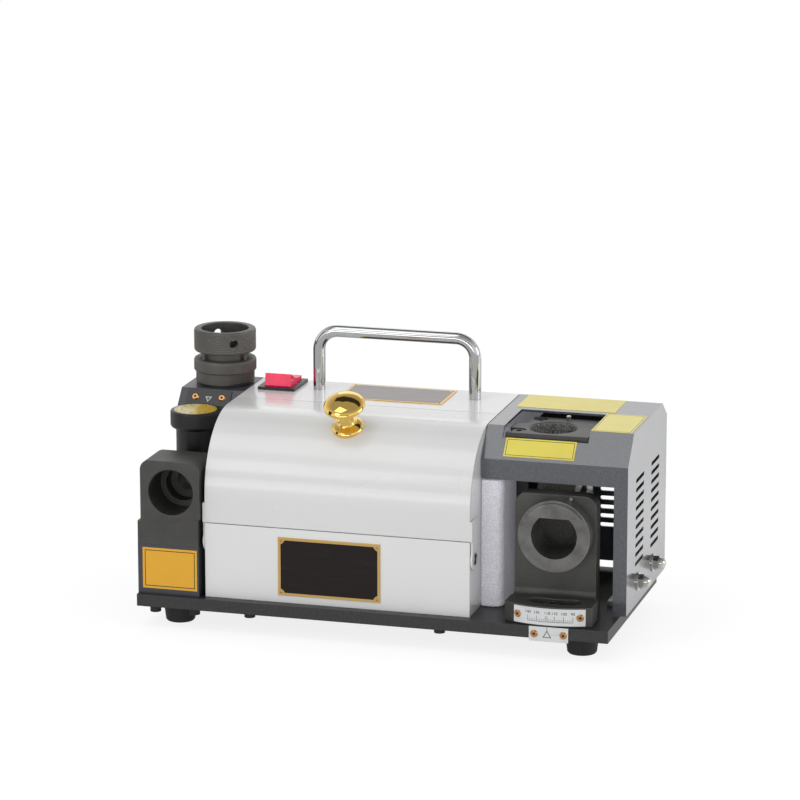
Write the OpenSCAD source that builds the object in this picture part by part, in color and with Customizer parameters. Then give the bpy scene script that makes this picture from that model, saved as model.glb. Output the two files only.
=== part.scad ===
// Drill bit sharpener: bench machine with a collet chuck, a point-angle bracket and a conical wheel.
// Millimetres. +Z up, front towards -Y. Origin: middle of the footprint, at the floor.

/* [Node] */
// sub-part to draw, or "all"

/* [Base] */
// base plate length along X
base_l = 315; // [312:1:318]
// base plate width along Y
base_w = 146; // [145:1:148]
// base plate thickness
base_t = 8; // [7:0.5:9]
// rubber foot height
foot_h = 14; // [11:1:18]
// rubber foot radius at the top
foot_r = 11.2; // [9.5:0.1:13]
// foot centre to plate edge, X
foot_in_x = 22; // [20:1:28]
// foot centre to plate edge, Y
foot_in_y = 23.5; // [21:0.5:28]

/* [Housings] */
// height of the machine top above the base underside
top_z = 125.5; // [125:0.5:128]
// sheet thickness of the housings
sheet = 1.5; // [1.2:0.1:1.8]
// rear edge of the flat top
top_rear_y = 62; // [61:0.5:64]
// outer face of the rear wall
rear_y = 76.5; // [76:0.5:78]
// height where the rear slope ends
rear_slope_z = 115; // [113:0.5:117]
// width of the setting station, from the plate's left end to the middle body
station_w = 45; // [44.7:0.1:45.3]
// right end of the middle body to the plate's right end
bay_in = 92.3; // [92.2:0.1:92.7]
// the bay cover's reach past the plate's right end
bay_over = 4.5; // [4:0.5:6]
// front face of the middle body
front_y = -66; // [-66.5:0.1:-65.5]
// front face of the grinding bay
bay_front_y = -40.5; // [-41:0.1:-40]
// lower edge of the band over the grinding bay
band_z = 93.6; // [92.5:0.1:95]

/* [Hood] */
// outer bend radius of the hood
hood_r = 50; // [48:0.5:51]
// rear edge of the hood
hood_rear_y = 4; // [2:0.5:8]
// lower edge of the hood skirt
seam_z = 58; // [57.5:0.1:59]
// hood pivot, Y
pivot_y = -58.5; // [-58.8:0.1:-58.2]
// hood pivot, Z
pivot_z = 45; // [44.7:0.1:45.3]
// radius of the hood ear
ear_r = 7.4; // [6.5:0.1:7.45]

/* [Handle and knob] */
// handle rod diameter
rod_d = 8; // [7:0.5:9]
// handle height above the machine top
handle_h = 44.3; // [36:0.1:50]
// handle bend radius on the centreline
bend_r = 13; // [10:0.5:16]
// radius of the knob head
knob_r = 13.6; // [11:0.1:15]
// knob tilt from the vertical
knob_tilt = 25.5; // [20:0.5:30]

/* [Spindle] */
// height of the spindle axis above the base underside
axis_z = 62.8; // [62:0.1:63.5]
// spindle axis, Y
axis_y = 24; // [23.5:0.1:24.5]
// radius of the motor casing
motor_r = 42; // [38:0.5:42.5]
// spindle radius
shaft_r = 7; // [6.5:0.1:7.5]
// rim radius of the grinding wheel
wheel_r = 40.5; // [38:0.5:41]
// half of the drill point angle ground at the middle setting
half_angle = 59; // [57:0.5:61]

/* [Drill chuck] */
// radius of the chuck shank
shank_r = 15; // [14.5:0.1:15.2]
// radial clearance of the chuck in its guides
guide_gap = 0.05; // [0.05:0.01:0.08]
// radius of the knurled chuck nut
nut_r = 20.8; // [20:0.1:21]
// half distance over the flats of the shank
flat_half = 12.5; // [12:0.1:12.7]

/* [Point-angle bracket] */
// swivel axis to the plate's right end
swivel_in = 39.5; // [39:0.1:40]
// radius of the graduated front face
scale_r = 67; // [66.5:0.1:67.2]
// width of the upright plate
plate_w = 53.4; // [52.5:0.1:55]
// top of the upright plate
plate_top = 87.5; // [87:0.1:91]
// travel from the middle setting to the blunt end
swing_plus = 11; // [9:0.5:11]
// travel from the middle setting to the sharp end
swing_minus = 14; // [10:0.5:14]

/* [Length setting] */
// height of the setting bore
set_z = 77; // [76:0.5:78]
// setting bore centre from the plate's left end
set_in = 23; // [22.5:0.1:23.5]
// dial axis from the plate's left end
dial_in = 20; // [19.5:0.1:20.5]
// dial axis, Y
dial_y = -8; // [-8.5:0.1:-7.5]
// dial knob radius
dial_r = 16.7; // [14.5:0.1:17.5]
// rise of the snail cam over its whole travel
cam_rise = 5; // [3:0.5:5]
// dial travel each way
dial_travel = 150; // [120:5:160]

/* [Hidden] */
$fn = 64;
eps = 0.01;
run_gap = 0.04;
inch_gap = 0.3;

fit_gap = 0.02;
left_x = -base_l / 2;
right_x = base_l / 2;
foot_x = right_x - foot_in_x;
foot_y = base_w / 2 - foot_in_y;
foot_tip_r = foot_r - 1.6;
body_x0 = left_x + station_w;
body_x1 = right_x - bay_in;
bay_x1 = right_x + bay_over;
body_mid = (body_x0 + body_x1) / 2;
nut_tip_x = bay_x1 + 9;
plate_face = 0.6;
rivet_h = 0.7;
bezel_out = 2.2;
shift_x = (left_x + nut_tip_x) / 2;
shift_y = (-base_w / 2 - plate_face - rivet_h + rear_y + bezel_out) / 2;

slope_turn = atan((top_z - rear_slope_z) / (rear_y - top_rear_y));
in_top_y = top_rear_y - sheet * tan(slope_turn / 2);
in_slope_z = rear_slope_z - sheet * tan((90 - slope_turn) / 2);

arc_y = front_y + hood_r;
arc_z = top_z - hood_r;
panel_top_z = seam_z - 0.5;
ear_gap = 0.3;
ear_t = 1.3;
ear_x0 = body_x0 - ear_gap - ear_t;
ear_x1 = body_x1 + ear_gap + ear_t;
ear_top_z = 71;
screw_r = 2.5;
pivot_head_r = 4.2;

knob_x = body_mid - 0.35;
leg_x = [body_x0 + 45.9, body_x1 - 24.7];
leg_y = 40;
rod_r = rod_d / 2;
leg_thread_r = 3;
leg_top_z = top_z + handle_h - rod_r;

sw_x = body_x0 + 19.5;
sw_y = 42.8;
sw_z = top_z + 0.5;
sw_w = 25.5;
sw_l = 31;
sw_bezel = 2;
sw_cut_w = 22;
sw_cut_l = 28;
rocker_w = 18;
rocker_rest = -14;
rocker_pin_r = 1.5;

frame_x0 = body_x1 + 16.8;
frame_x1 = frame_x0 + 8;
flange_x0 = frame_x1 + 2;
wheel_x0 = flange_x0 + 4;
wheel_x1 = wheel_x0 + 5;
wheel_x2 = wheel_x1 + 17;
wheel_tip_r = wheel_r - (wheel_x2 - wheel_x1) / tan(half_angle);
coat_t = 2.5;
shaft_out = 6;
motor_x = [body_x1 - 135.2, body_x1 - 113.2, body_x1 - 29.2, body_x1 - 9.2];
box_x = [body_mid + 3.65, body_mid + 33.65];
rotor_r = 25;
bearing_r = 16;
bore_r = shank_r + guide_gap;

foam_x0 = body_x1 + 0.2;
foam_x1 = foam_x0 + 15.1;
chisel_x = frame_x1 + 15.5;
chisel_y = -8.8;
chisel_top = 122;
chisel_t = 8;
pin_r = 1.58;
chisel_front = -28;
cut_x0 = chisel_x - 28.5;
cut_x1 = chisel_x + 28;
cut_rear = 21.5;
cut_front = -30;
bay_top_y = -24;
bay_slope_z = 107;

block_w = 57;
block_top = 21;
floor_gap = 0.3;
swivel_x = right_x - swivel_in;
swivel_y = scale_r - base_w / 2;
upright_y0 = swivel_y - 39;
upright_y1 = swivel_y - 28;
ring_r = 23.5;
ring_y0 = swivel_y - 50;
lip_y0 = ring_y0 - 3;
lip_half = 12.6;
bore_x = swivel_x - 0.3;
slot_r = 53.5;
slot_half = 6;
clamp_r = 3;
pivot_r = 4;

column_x0 = left_x + 1;
column_x1 = body_x0 - 0.4;
column_y0 = 10.5;
column_slope_z = 115;
column_top_y = 20;
box_x1 = left_x + 41.7;
set_x = left_x + set_in;
dial_x = left_x + dial_in;
seam_x = [left_x + 24.7, left_x + 29];
box_y0 = -69.5;
box_top = 42;
set_y0 = -70.2;
set_y1 = -41;
set_back = set_y0 + 25.6;
set_split = 57;
set_step = 3;
set_top = 98;
chuck_x = left_x + 24.1;
chuck_y = 43;
chuck_z = top_z + 1.5;
shank_l = 24;
nose_r = 11;
nose_l = 11;
nose_z = chuck_z - shank_l - nose_l;
ring3_r = 19.6;
ring3_h = 7.5;
ring2_h = 8.5;
neck_h = 4.8;
nut_h = 15;
ring2_z = chuck_z + ring3_h;
neck_z = ring2_z + ring2_h;
nut_z = neck_z + neck_h;
cam_r = 6.5;
cam_shaft_r = 3.5;
cam_pitch = cam_rise / (2 * dial_travel);
stop_r = 7;
stop_face = -21;
stop_nose_r = 3;
guide_r = 9.6;
guide_y0 = set_y0 + shank_l + nose_l + 2;
guide_end = -17.8;
dial_z = 106.2;
dial_h = 12;
inlet_x = left_x + 22.8;
inlet_z = 42;
vent_pitch = 6.15;
vent_z0 = 36.7;
vent_l = 24;
vent_h = 2.7;
collet_x = knob_x;
collet_pitch = (body_x1 - body_x0 - 21.7) / 6;

// ---------------------------------------------------------------- helpers

// moves a piece from the base plate's frame to the shared frame
module seat() {
    translate([-shift_x, -shift_y, foot_h]) children();
}

// box from ranges
module brick(x, y, z) {
    translate([x[0], y[0], z[0]]) cube([x[1] - x[0], y[1] - y[0], z[1] - z[0]]);
}

// cylinders along each axis, from a to b
module rod_x(r, a, b, y, z) {
    translate([a, y, z]) rotate([0, 90, 0]) cylinder(r = r, h = b - a);
}

module rod_y(r, a, b, x, z) {
    translate([x, b, z]) rotate([90, 0, 0]) cylinder(r = r, h = b - a);
}

module rod_z(r, a, b, x, y) {
    translate([x, y, a]) cylinder(r = r, h = b - a);
}

// prism along X from a YZ outline
module along_x(a, b) {
    translate([a, 0, 0]) rotate([90, 0, 90]) linear_extrude(height = b - a) children();
}

// prism along Y from an XZ outline
module along_y(a, b) {
    translate([0, b, 0]) rotate([90, 0, 0]) linear_extrude(height = b - a) children();
}

// rear of every housing as a bent sheet, open below
module rear_sheet(y0, z0) {
    polygon([[y0, top_z], [top_rear_y, top_z], [rear_y, rear_slope_z], [rear_y, z0],
             [rear_y - sheet, z0], [rear_y - sheet, in_slope_z], [in_top_y, top_z - sheet],
             [y0, top_z - sheet]]);
}

// screw with a round head below z, shank upwards
module under_screw(x, y, z, r, len, head_r, head_h) {
    rod_z(head_r, z - head_h, z, x, y);
    rod_z(r, z - eps, z + len, x, y);
}

// hexagon nut along +Z
module hex(r, h) {
    cylinder(r = r, h = h, $fn = 6);
}

// shallow eyelet rivet along +Z with a dimple
module eyelet() {
    difference() {
        cylinder(r1 = 2.5, r2 = 1.9, h = rivet_h);
        translate([0, 0, 0.3]) cylinder(r = 0.9, h = rivet_h);
    }
}

head_r = 3.6;
head_h = 5;
base_screw_at = [[left_x + 10, box_y0 + 4.9], [box_x1 - 4.8, box_y0 + 4.9],
                 [body_x0 + 28.5, front_y + 5], [body_x1 - 21.2, front_y + 5],
                 [body_x0 + 24.5, rear_y - 8.5], [body_x1 - 21.2, rear_y - 8.5],
                 for (x = [motor_x[1] + 18, motor_x[2] - 16], y = [axis_y - 18, axis_y + 18]) [x, y],
                 [frame_x1 + 4, 20], [frame_x1 + 4, 48], [left_x + 17.5, 30],
                 [right_x - 7.5, 5], [right_x - 7.5, 30]];

// ---------------------------------------------------------------- base

module base_plate() {
    color("dimgray") difference() {
        brick([left_x, right_x], [-base_w / 2, base_w / 2], [0, base_t]);
        for (x = [-foot_x, foot_x], y = [-foot_y, foot_y])
            rod_z(screw_r + run_gap, -eps, base_t + eps, x, y);
        for (p = base_screw_at) rod_z(screw_r + run_gap, -eps, base_t + eps, p[0], p[1]);
        rod_z(pivot_r + run_gap, 2, base_t + eps, swivel_x, swivel_y);
        rod_z(clamp_r + run_gap, 1, base_t + eps, swivel_x, swivel_y - slot_r);
    }
}

module rubber_feet() {
    color("black") for (x = [-foot_x, foot_x], y = [-foot_y, foot_y]) difference() {
        translate([x, y, -foot_h]) union() {
            cylinder(r1 = foot_tip_r - 0.8, r2 = foot_tip_r, h = 1);
            translate([0, 0, 1]) cylinder(r1 = foot_tip_r, r2 = foot_r, h = foot_h - 1);
        }
        rod_z(6, -foot_h - eps, -foot_h + 7, x, y);
        rod_z(screw_r + run_gap, -foot_h, eps, x, y);
    }
}

module base_screws() {
    feet = [for (x = [-foot_x, foot_x], y = [-foot_y, foot_y]) [x, y, -foot_h + 7]];
    color("silver") for (p = concat(base_screw_at, feet)) let (z = len(p) > 2 ? p[2] : 0) difference() {
        under_screw(p[0], p[1], z, screw_r, z < 0 ? base_t - 1 - z : base_t + 2, head_r, head_h);
        translate([p[0], p[1], z - head_h - eps]) hex(2, 2.4);
    }
}

// ---------------------------------------------------------------- middle body

// outline of the end cheeks, inside the hood, to the middle of the sheets that they join
module cheek_outline() {
    in = hood_r - sheet - inch_gap;
    m = sheet / 2;
    mid_top_y = top_rear_y - m * tan(slope_turn / 2);
    mid_slope_z = rear_slope_z - m * tan((90 - slope_turn) / 2);
    polygon([[front_y + m, base_t], [rear_y - m, base_t], [rear_y - m, mid_slope_z],
             [mid_top_y, top_z - m], [hood_rear_y + 1, top_z - m],
             [hood_rear_y + 1, arc_z + in], [arc_y, arc_z + in], [arc_y, arc_z],
             [arc_y - in, arc_z], [arc_y - in, panel_top_z], [front_y + m, panel_top_z]]);
    intersection() {
        translate([arc_y, arc_z]) circle(r = in, $fn = 128);
        translate([arc_y - in, arc_z]) square([in, in]);
    }
}

module body_shell() {
    span = [body_x0 + sheet / 2, body_x1 - sheet / 2];
    color("white") difference() {
        union() {
            brick([body_x0, body_x1], [front_y, front_y + sheet], [base_t, panel_top_z]);
            along_x(body_x0, body_x1) rear_sheet(hood_rear_y + 0.6, base_t);
            along_x(body_x0, body_x0 + sheet) cheek_outline();
            along_x(body_x1 - sheet, body_x1) cheek_outline();
            brick(span, [hood_rear_y - 4, hood_rear_y + 6],
                  [top_z - 2 * sheet - 0.2, top_z - sheet - 0.2]);
            brick(span, [hood_rear_y + 0.6, hood_rear_y + 6], [top_z - 2 * sheet, top_z - sheet + 0.2]);
            brick(span, [front_y + sheet / 2, front_y + 11], [base_t, base_t + 3]);
            brick(span, [rear_y - 14, rear_y - sheet / 2], [base_t, base_t + 3]);
        }
        brick([sw_x - sw_cut_w / 2, sw_x + sw_cut_w / 2], [sw_y - sw_cut_l / 2, sw_y + sw_cut_l / 2],
              [top_z - 4, top_z + eps]);
        for (x = leg_x) rod_z(leg_thread_r + run_gap, top_z - 4, top_z + eps, x, leg_y);
        rod_x(14, body_x1 - 3, body_x1 + eps, axis_y, axis_z);
        for (x = [body_x0 - eps, body_x1 - 2]) rod_x(screw_r + run_gap, x, x + 3, pivot_y, pivot_z);
        for (p = base_screw_at) rod_z(screw_r + run_gap, base_t - eps, base_t + 4, p[0], p[1]);
    }
}

module hood() {
    skirt_x = [ear_x0, ear_x1];
    color("white") difference() {
        union() {
            difference() {
                intersection() {
                    rod_x(hood_r, body_x0, body_x1, arc_y, arc_z, $fn = 128);
                    brick([body_x0, body_x1], [front_y - 1, arc_y], [arc_z, top_z + 1]);
                }
                rod_x(hood_r - sheet, body_x0 - eps, body_x1 + eps, arc_y, arc_z, $fn = 128);
            }
            brick([body_x0, body_x1], [arc_y, hood_rear_y], [top_z - sheet, top_z]);
            brick([body_x0, body_x1], [front_y, front_y + sheet], [ear_top_z, arc_z]);
            brick(skirt_x, [front_y, front_y + sheet], [seam_z, ear_top_z]);
            for (x = [ear_x0, ear_x1 - ear_t]) {
                brick([x, x + ear_t], [front_y, pivot_y + 6.5], [seam_z, ear_top_z]);
                brick([x, x + ear_t], [front_y + sheet, pivot_y + 6.5], [pivot_z, seam_z]);
                rod_x(ear_r, x, x + ear_t, pivot_y, pivot_z);
            }
        }
        brick([ear_x0 - 1, ear_x1 + 1], [pivot_y + 6.5, pivot_y + 9], [pivot_z - 9, pivot_z + 30]);
        for (x = [ear_x0 - eps, ear_x1 - ear_t - eps])
            rod_x(screw_r + run_gap, x, x + ear_t + 2 * eps, pivot_y, pivot_z);
        translate([knob_x, arc_y, arc_z]) rotate([knob_tilt, 0, 0])
            cylinder(r = screw_r + run_gap, h = hood_r + 5);
    }
}

module hood_pivot_screws() {
    color("silver") {
        for (s = [[ear_x0, -1], [ear_x1, 1]]) {
            inner = s[0] - s[1] * (ear_t + ear_gap + sheet + 2);
            difference() {
                rod_x(screw_r, min(s[0], inner), max(s[0], inner), pivot_y, pivot_z);
                rod_x(screw_r + 1, min(s[0], s[0] - s[1] * eps), max(s[0], s[0] - s[1] * eps), pivot_y, pivot_z);
            }
            difference() {
                translate([s[0] + s[1] * 0.02, pivot_y, pivot_z]) rotate([0, s[1] * 90, 0]) union() {
                    cylinder(r = pivot_head_r, h = 0.6);
                    translate([0, 0, 0.6]) cylinder(r1 = pivot_head_r, r2 = 2.6, h = 0.7);
                    translate([0, 0, -0.1]) cylinder(r = screw_r, h = 0.2);
                }
                translate([s[0] + s[1] * 1.5, pivot_y, pivot_z])
                    cube([1.4, 0.9, 5.4], center = true);
            }
        }
    }
}

module hood_knob() {
    color("gold") translate([knob_x, arc_y, arc_z]) rotate([knob_tilt, 0, 0]) difference() {
        union() {
            translate([0, 0, hood_r - 6.5]) cylinder(r = screw_r, h = 10);
            difference() {
                translate([0, 0, hood_r]) rotate_extrude($fn = 96)
                    polygon([[0, -1.4], [10.4, -1.4], [10.4, 0.8], [9, 2.2], [5.6, 3.4], [4.4, 5.2],
                             [4.2, 12], [5.4, 14.2], [9.4, 15.4], [knob_r - 0.8, 16.4], [knob_r, 17.6],
                             [knob_r, 18.6], [knob_r - 1, 19.9], [10.6, 21.3], [7, 22.4], [3.4, 23],
                             [0, 23.2]]);
                rotate([0, 90, 0]) cylinder(r = hood_r + 0.02, h = 60, center = true, $fn = 128);
            }
            translate([0, 0, hood_r - 1]) cylinder(r = screw_r, h = 3);
        }
    }
}

module knob_nut() {
    color("silver") translate([knob_x, arc_y, arc_z]) rotate([knob_tilt, 0, 0]) difference() {
        translate([0, 0, hood_r - sheet - 4.6]) hex(4.7, 4.2);
        cylinder(r = screw_r + run_gap, h = hood_r);
    }
}

module handle() {
    half = (leg_x[1] - leg_x[0]) / 2;
    color("silver") {
        for (i = [0, 1]) {
            rod_z(rod_r, top_z, leg_top_z - bend_r, leg_x[i], leg_y);
            rod_z(leg_thread_r, top_z - 13, top_z + 1, leg_x[i], leg_y);
            translate([leg_x[i] + (i == 0 ? bend_r : -bend_r), leg_y, leg_top_z - bend_r])
                rotate([90, 0, 0]) rotate([0, 0, i == 0 ? 90 : 0])
                rotate_extrude(angle = 90) translate([bend_r, 0]) circle(r = rod_r);
        }
        rod_x(rod_r, leg_x[0] + bend_r, leg_x[1] - bend_r, leg_y, leg_top_z);
    }
}

module handle_nuts() {
    color("silver") for (x = leg_x) difference() {
        union() {
            rod_z(8, top_z - sheet - 1.5, top_z - sheet, x, leg_y);
            translate([x, leg_y, top_z - sheet - 6.5]) hex(5.8, 5);
        }
        rod_z(leg_thread_r + run_gap, top_z - 14, top_z, x, leg_y);
    }
}

// ---------------------------------------------------------------- switch

module switch_bezel() {
    color("black") difference() {
        union() {
            brick([sw_x - sw_w / 2, sw_x + sw_w / 2], [sw_y - sw_l / 2, sw_y + sw_l / 2],
                  [top_z, top_z + sw_bezel]);
            brick([sw_x - sw_cut_w / 2 + 0.05, sw_x + sw_cut_w / 2 - 0.05],
                  [sw_y - sw_cut_l / 2 + 0.05, sw_y + sw_cut_l / 2 - 0.05], [top_z - 22, top_z + eps]);
        }
        brick([sw_x - rocker_w / 2 - 0.3, sw_x + rocker_w / 2 + 0.3], [sw_y - 13.1, sw_y + 13.1],
              [sw_z - 9, top_z + sw_bezel + eps]);
        rod_x(rocker_pin_r + run_gap, sw_x - rocker_w / 2 - 1.4, sw_x + rocker_w / 2 + 1.4, sw_y, sw_z);
    }
    color("silver") for (y = [-8, 0, 8])
        brick([sw_x - 3, sw_x + 3], [sw_y + y - 0.4, sw_y + y + 0.4], [top_z - 30, top_z - 21.9]);
}

module switch_rocker() {
    color("crimson") {
        translate([0, sw_y, sw_z]) rotate([rocker_rest, 0, 0]) {
            along_x(sw_x - rocker_w / 2, sw_x + rocker_w / 2)
                polygon([[-12, 7.2], [-6, 5.6], [0, 5], [6, 5.6], [12, 7.2], [11.4, -1], [4, -5],
                         [-4, -5], [-11.4, -1]]);
            rod_x(rocker_pin_r, sw_x - rocker_w / 2 - 1.3, sw_x + rocker_w / 2 + 1.3, 0, 0);
        }
    }
}

// ---------------------------------------------------------------- plates

// plate with a rim and a sunk field, centred, along +Z
module rimmed_plate(w, h, t) {
    rim = 3;
    difference() {
        translate([-w / 2, -h / 2, 0]) cube([w, h, t]);
        translate([rim - w / 2, rim - h / 2, t - 0.15]) cube([w - 2 * rim, h - 2 * rim, 1]);
    }
}

module name_plates() {
    color("goldenrod") {
        translate([body_mid - 4.8, front_y, base_t + 24.4]) rotate([90, 0, 0])
            rimmed_plate(68.7, 38.8, plate_face);
        translate([leg_x[0] + 54.6, leg_y - 2.4, top_z]) rimmed_plate(71.4, 39.4, plate_face);
    }
}

module labels() {
    t = 0.2;
    slope = atan((top_z - bay_slope_z) / (bay_top_y - bay_front_y));
    color("gold") {
        brick([body_x1 + 7, body_x1 + 72.8], [27, 63 - 1.2], [top_z, top_z + t]);
        brick([cut_x1 + 0.2, bay_x1 - 1.6], [-23.6, 23.6], [top_z, top_z + t]);
        translate([cut_x0 + 2.8, bay_top_y, top_z]) rotate([slope, 0, 0])
            translate([0, -22.4, 0]) cube([46.4, 13.6, t]);
        brick([left_x + 3.3, left_x + 40.5], [box_y0 - t, box_y0], [11.8, 39.2]);
    }
}

// ---------------------------------------------------------------- motor and spindle

module motor_body() {
    color("slategray") difference() {
        union() {
            rod_x(motor_r, motor_x[1], motor_x[2], axis_y, axis_z);
            brick(box_x, [axis_y - 14, axis_y + 14], [axis_z, axis_z + motor_r + 8]);
        }
        rod_x(rotor_r + 0.6, motor_x[1] - eps, motor_x[2] + eps, axis_y, axis_z);
    }
}

module motor_bells() {
    color("darkgray") for (i = [0, 2]) difference() {
        rod_x(motor_r - 2, motor_x[i], motor_x[i + 1], axis_y, axis_z);
        rod_x(rotor_r + 4, i == 0 ? motor_x[0] + 12 : motor_x[2] - eps,
              i == 0 ? motor_x[1] + eps : motor_x[3] - 12, axis_y, axis_z);
        rod_x(bearing_r, i == 0 ? motor_x[0] + 3 : motor_x[2],
              i == 0 ? motor_x[1] : motor_x[3] - 3, axis_y, axis_z);
        rod_x(shaft_r + 2, motor_x[i] - eps, motor_x[i + 1] + eps, axis_y, axis_z);
        for (a = [0:45:359]) translate([0, axis_y, axis_z]) rotate([a, 0, 0])
            brick([motor_x[i] - eps, motor_x[i + 1] + eps], [22, 34], [-3, 3]);
    }
}

module motor_bearings() {
    color("silver") for (x = [motor_x[0] + 3, motor_x[3] - 12]) difference() {
        rod_x(bearing_r - 0.02, x, x + 9, axis_y, axis_z);
        rod_x(shaft_r + run_gap, x - eps, x + 9 + eps, axis_y, axis_z);
    }
}

module motor_cradle() {
    color("dimgray") difference() {
        brick([motor_x[1] + 8, motor_x[2] - 6], [axis_y - 28, axis_y + 28], [base_t, axis_z - 26]);
        rod_x(motor_r + fit_gap, motor_x[1], motor_x[2], axis_y, axis_z);
        brick([motor_x[1] + 28, motor_x[2] - 26], [axis_y - 29, axis_y + 29], [base_t - eps, base_t + 6]);
        for (p = base_screw_at) rod_z(screw_r + run_gap, base_t - eps, base_t + 4, p[0], p[1]);
    }
}

module motor_shaft() {
    color("silver") difference() {
        union() {
            rod_x(shaft_r, motor_x[0] - 8, wheel_x2 + shaft_out, axis_y, axis_z);
            rod_x(shaft_r + 4, frame_x1 + 0.4, flange_x0 - fit_gap, axis_y, axis_z);
        }
        brick([wheel_x2 + shaft_out - 3, wheel_x2 + shaft_out + 1], [axis_y - 0.8, axis_y + 0.8], [axis_z - 9, axis_z + 9]);
    }
}

module motor_rotor() {
    color("peru") difference() {
        union() {
            rod_x(rotor_r, motor_x[1] + 6, motor_x[2] - 14, axis_y, axis_z);
            rod_x(14, motor_x[2] - 14, motor_x[2] - 2, axis_y, axis_z);
        }
        rod_x(shaft_r + fit_gap, motor_x[1], motor_x[2], axis_y, axis_z);
    }
}

module wheel_core() {
    inner = wheel_r - coat_t;
    tip = wheel_tip_r - coat_t;
    color("lightgray") difference() {
        union() {
            rod_x(18, flange_x0, wheel_x0, axis_y, axis_z);
            rod_x(inner, wheel_x0, wheel_x1, axis_y, axis_z);
            translate([wheel_x1, axis_y, axis_z]) rotate([0, 90, 0])
                cylinder(r1 = inner, r2 = tip, h = wheel_x2 - wheel_x1);
        }
        rod_x(shaft_r + fit_gap, flange_x0 - eps, wheel_x2 + eps, axis_y, axis_z);
        rod_x(14, wheel_x2 - 5, wheel_x2 + eps, axis_y, axis_z);
    }
}

module abrasive_rim() {
    inner = wheel_r - coat_t;
    tip = wheel_tip_r - coat_t;
    color("gray") difference() {
        union() {
            rod_x(wheel_r, wheel_x0, wheel_x1, axis_y, axis_z);
            translate([wheel_x1, axis_y, axis_z]) rotate([0, 90, 0])
                cylinder(r1 = wheel_r, r2 = wheel_tip_r, h = wheel_x2 - wheel_x1);
        }
        rod_x(inner, wheel_x0 - eps, wheel_x1, axis_y, axis_z);
        translate([wheel_x1, axis_y, axis_z]) rotate([0, 90, 0])
            cylinder(r1 = inner, r2 = tip, h = wheel_x2 - wheel_x1);
        rod_x(tip, wheel_x2 - eps, wheel_x2 + 1, axis_y, axis_z);
    }
}

module wheel_nut() {
    color("silver") translate([wheel_x2 - 5, axis_y, axis_z]) rotate([0, 90, 0]) difference() {
        union() {
            cylinder(r = 12.5, h = 2);
            translate([0, 0, 2]) hex(11, 5.5);
        }
        translate([0, 0, -eps]) cylinder(r = shaft_r + fit_gap, h = 12);
    }
}

// ---------------------------------------------------------------- collets

collet_at = [for (i = [0:5]) [collet_x + (i - 2.5) * collet_pitch, -50, 1.5 + 0.5 * i],
             for (i = [0:4]) [collet_x + (i - 2) * collet_pitch, -32, 4.5 + 0.5 * i]];

module collet_rack() {
    x = [body_x0 + 6.5, body_x1 - 7.2];
    color("gainsboro") difference() {
        union() {
            brick(x, [-61, -22.5], [76.5, 78]);
            brick(x, [-61, -22.5], [52, 53.5]);
            brick([x[0], x[0] + 1.5], [-61, -22.5], [base_t + 3, 78]);
            brick([x[1] - 1.5, x[1]], [-61, -22.5], [base_t + 3, 78]);
            brick(x, [-24, -22.5], [40, 53]);
        }
        for (c = collet_at) rod_z(8.25, 76, 79, c[0], c[1]);
    }
}

module collets() {
    color("darkgray") for (c = collet_at) difference() {
        union() {
            rod_z(8, 53.5, 84, c[0], c[1]);
            translate([c[0], c[1], 84]) cylinder(r1 = 8, r2 = 9.2, h = 2.5);
            rod_z(9.2, 86.5, 91, c[0], c[1]);
        }
        rod_z(c[2], 53, 92, c[0], c[1]);
        brick([c[0] - 0.5, c[0] + 0.5], [c[1] - 10, c[1] + 10], [66, 92]);
        brick([c[0] - 10, c[0] + 10], [c[1] - 0.5, c[1] + 0.5], [66, 92]);
    }
}

// ---------------------------------------------------------------- grinding bay

module foam_seal() {
    r = 6;
    front = bay_front_y - 0.5;
    color("lightgray") difference() {
        union() {
            difference() {
                along_x(foam_x0, foam_x1)
                    polygon([[front, base_t + 0.1], [front, band_z - 0.5], [front + 4, band_z - 0.5],
                             [front + 4, 104], [-28, chisel_top - chisel_t - 1],
                             [rear_y - 6, chisel_top - chisel_t - 1],
                             [rear_y - 6, base_t + 0.1]]);
                brick([foam_x1 - r, foam_x1 + 1], [front - 1, front + r], [0, band_z - 0.4]);
                brick([foam_x0 - 1, foam_x0 + 2], [front - 1, front + 2], [0, band_z - 0.4]);
            }
            rod_z(r, base_t + 0.1, band_z - 0.5, foam_x1 - r, front + r);
            rod_z(2, base_t + 0.1, band_z - 0.5, foam_x0 + 2, front + 2);
        }
        rod_x(16, foam_x0 - 1, foam_x1 + 1, axis_y, axis_z);
    }
}

// outline of the bay's side panel
module bay_outline() {
    polygon([[bay_front_y, base_t + 1], [bay_front_y, bay_slope_z], [bay_top_y, top_z],
             [top_rear_y, top_z], [rear_y, rear_slope_z], [rear_y, base_t + 1]]);
}

module bay_front_sheet() {
    turn = atan((top_z - bay_slope_z) / (bay_top_y - bay_front_y));
    y_in = bay_top_y + sheet * tan((turn) / 2);
    z_in = bay_slope_z - sheet * tan((90 - turn) / 2);
    polygon([[bay_front_y, band_z], [bay_front_y, bay_slope_z], [bay_top_y, top_z],
             [cut_rear + 1, top_z], [cut_rear + 1, top_z - sheet], [y_in, top_z - sheet],
             [bay_front_y + sheet, z_in], [bay_front_y + sheet, band_z]]);
}

// slot along Y with round ends, cut through x
module vent(x, y, z) {
    h = vent_h / 2;
    brick(x, [y - vent_l / 2 + h, y + vent_l / 2 - h], [z - h, z + h]);
    for (e = [-1, 1]) rod_x(h, x[0], x[1], y + e * (vent_l / 2 - h), z);
}

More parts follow.
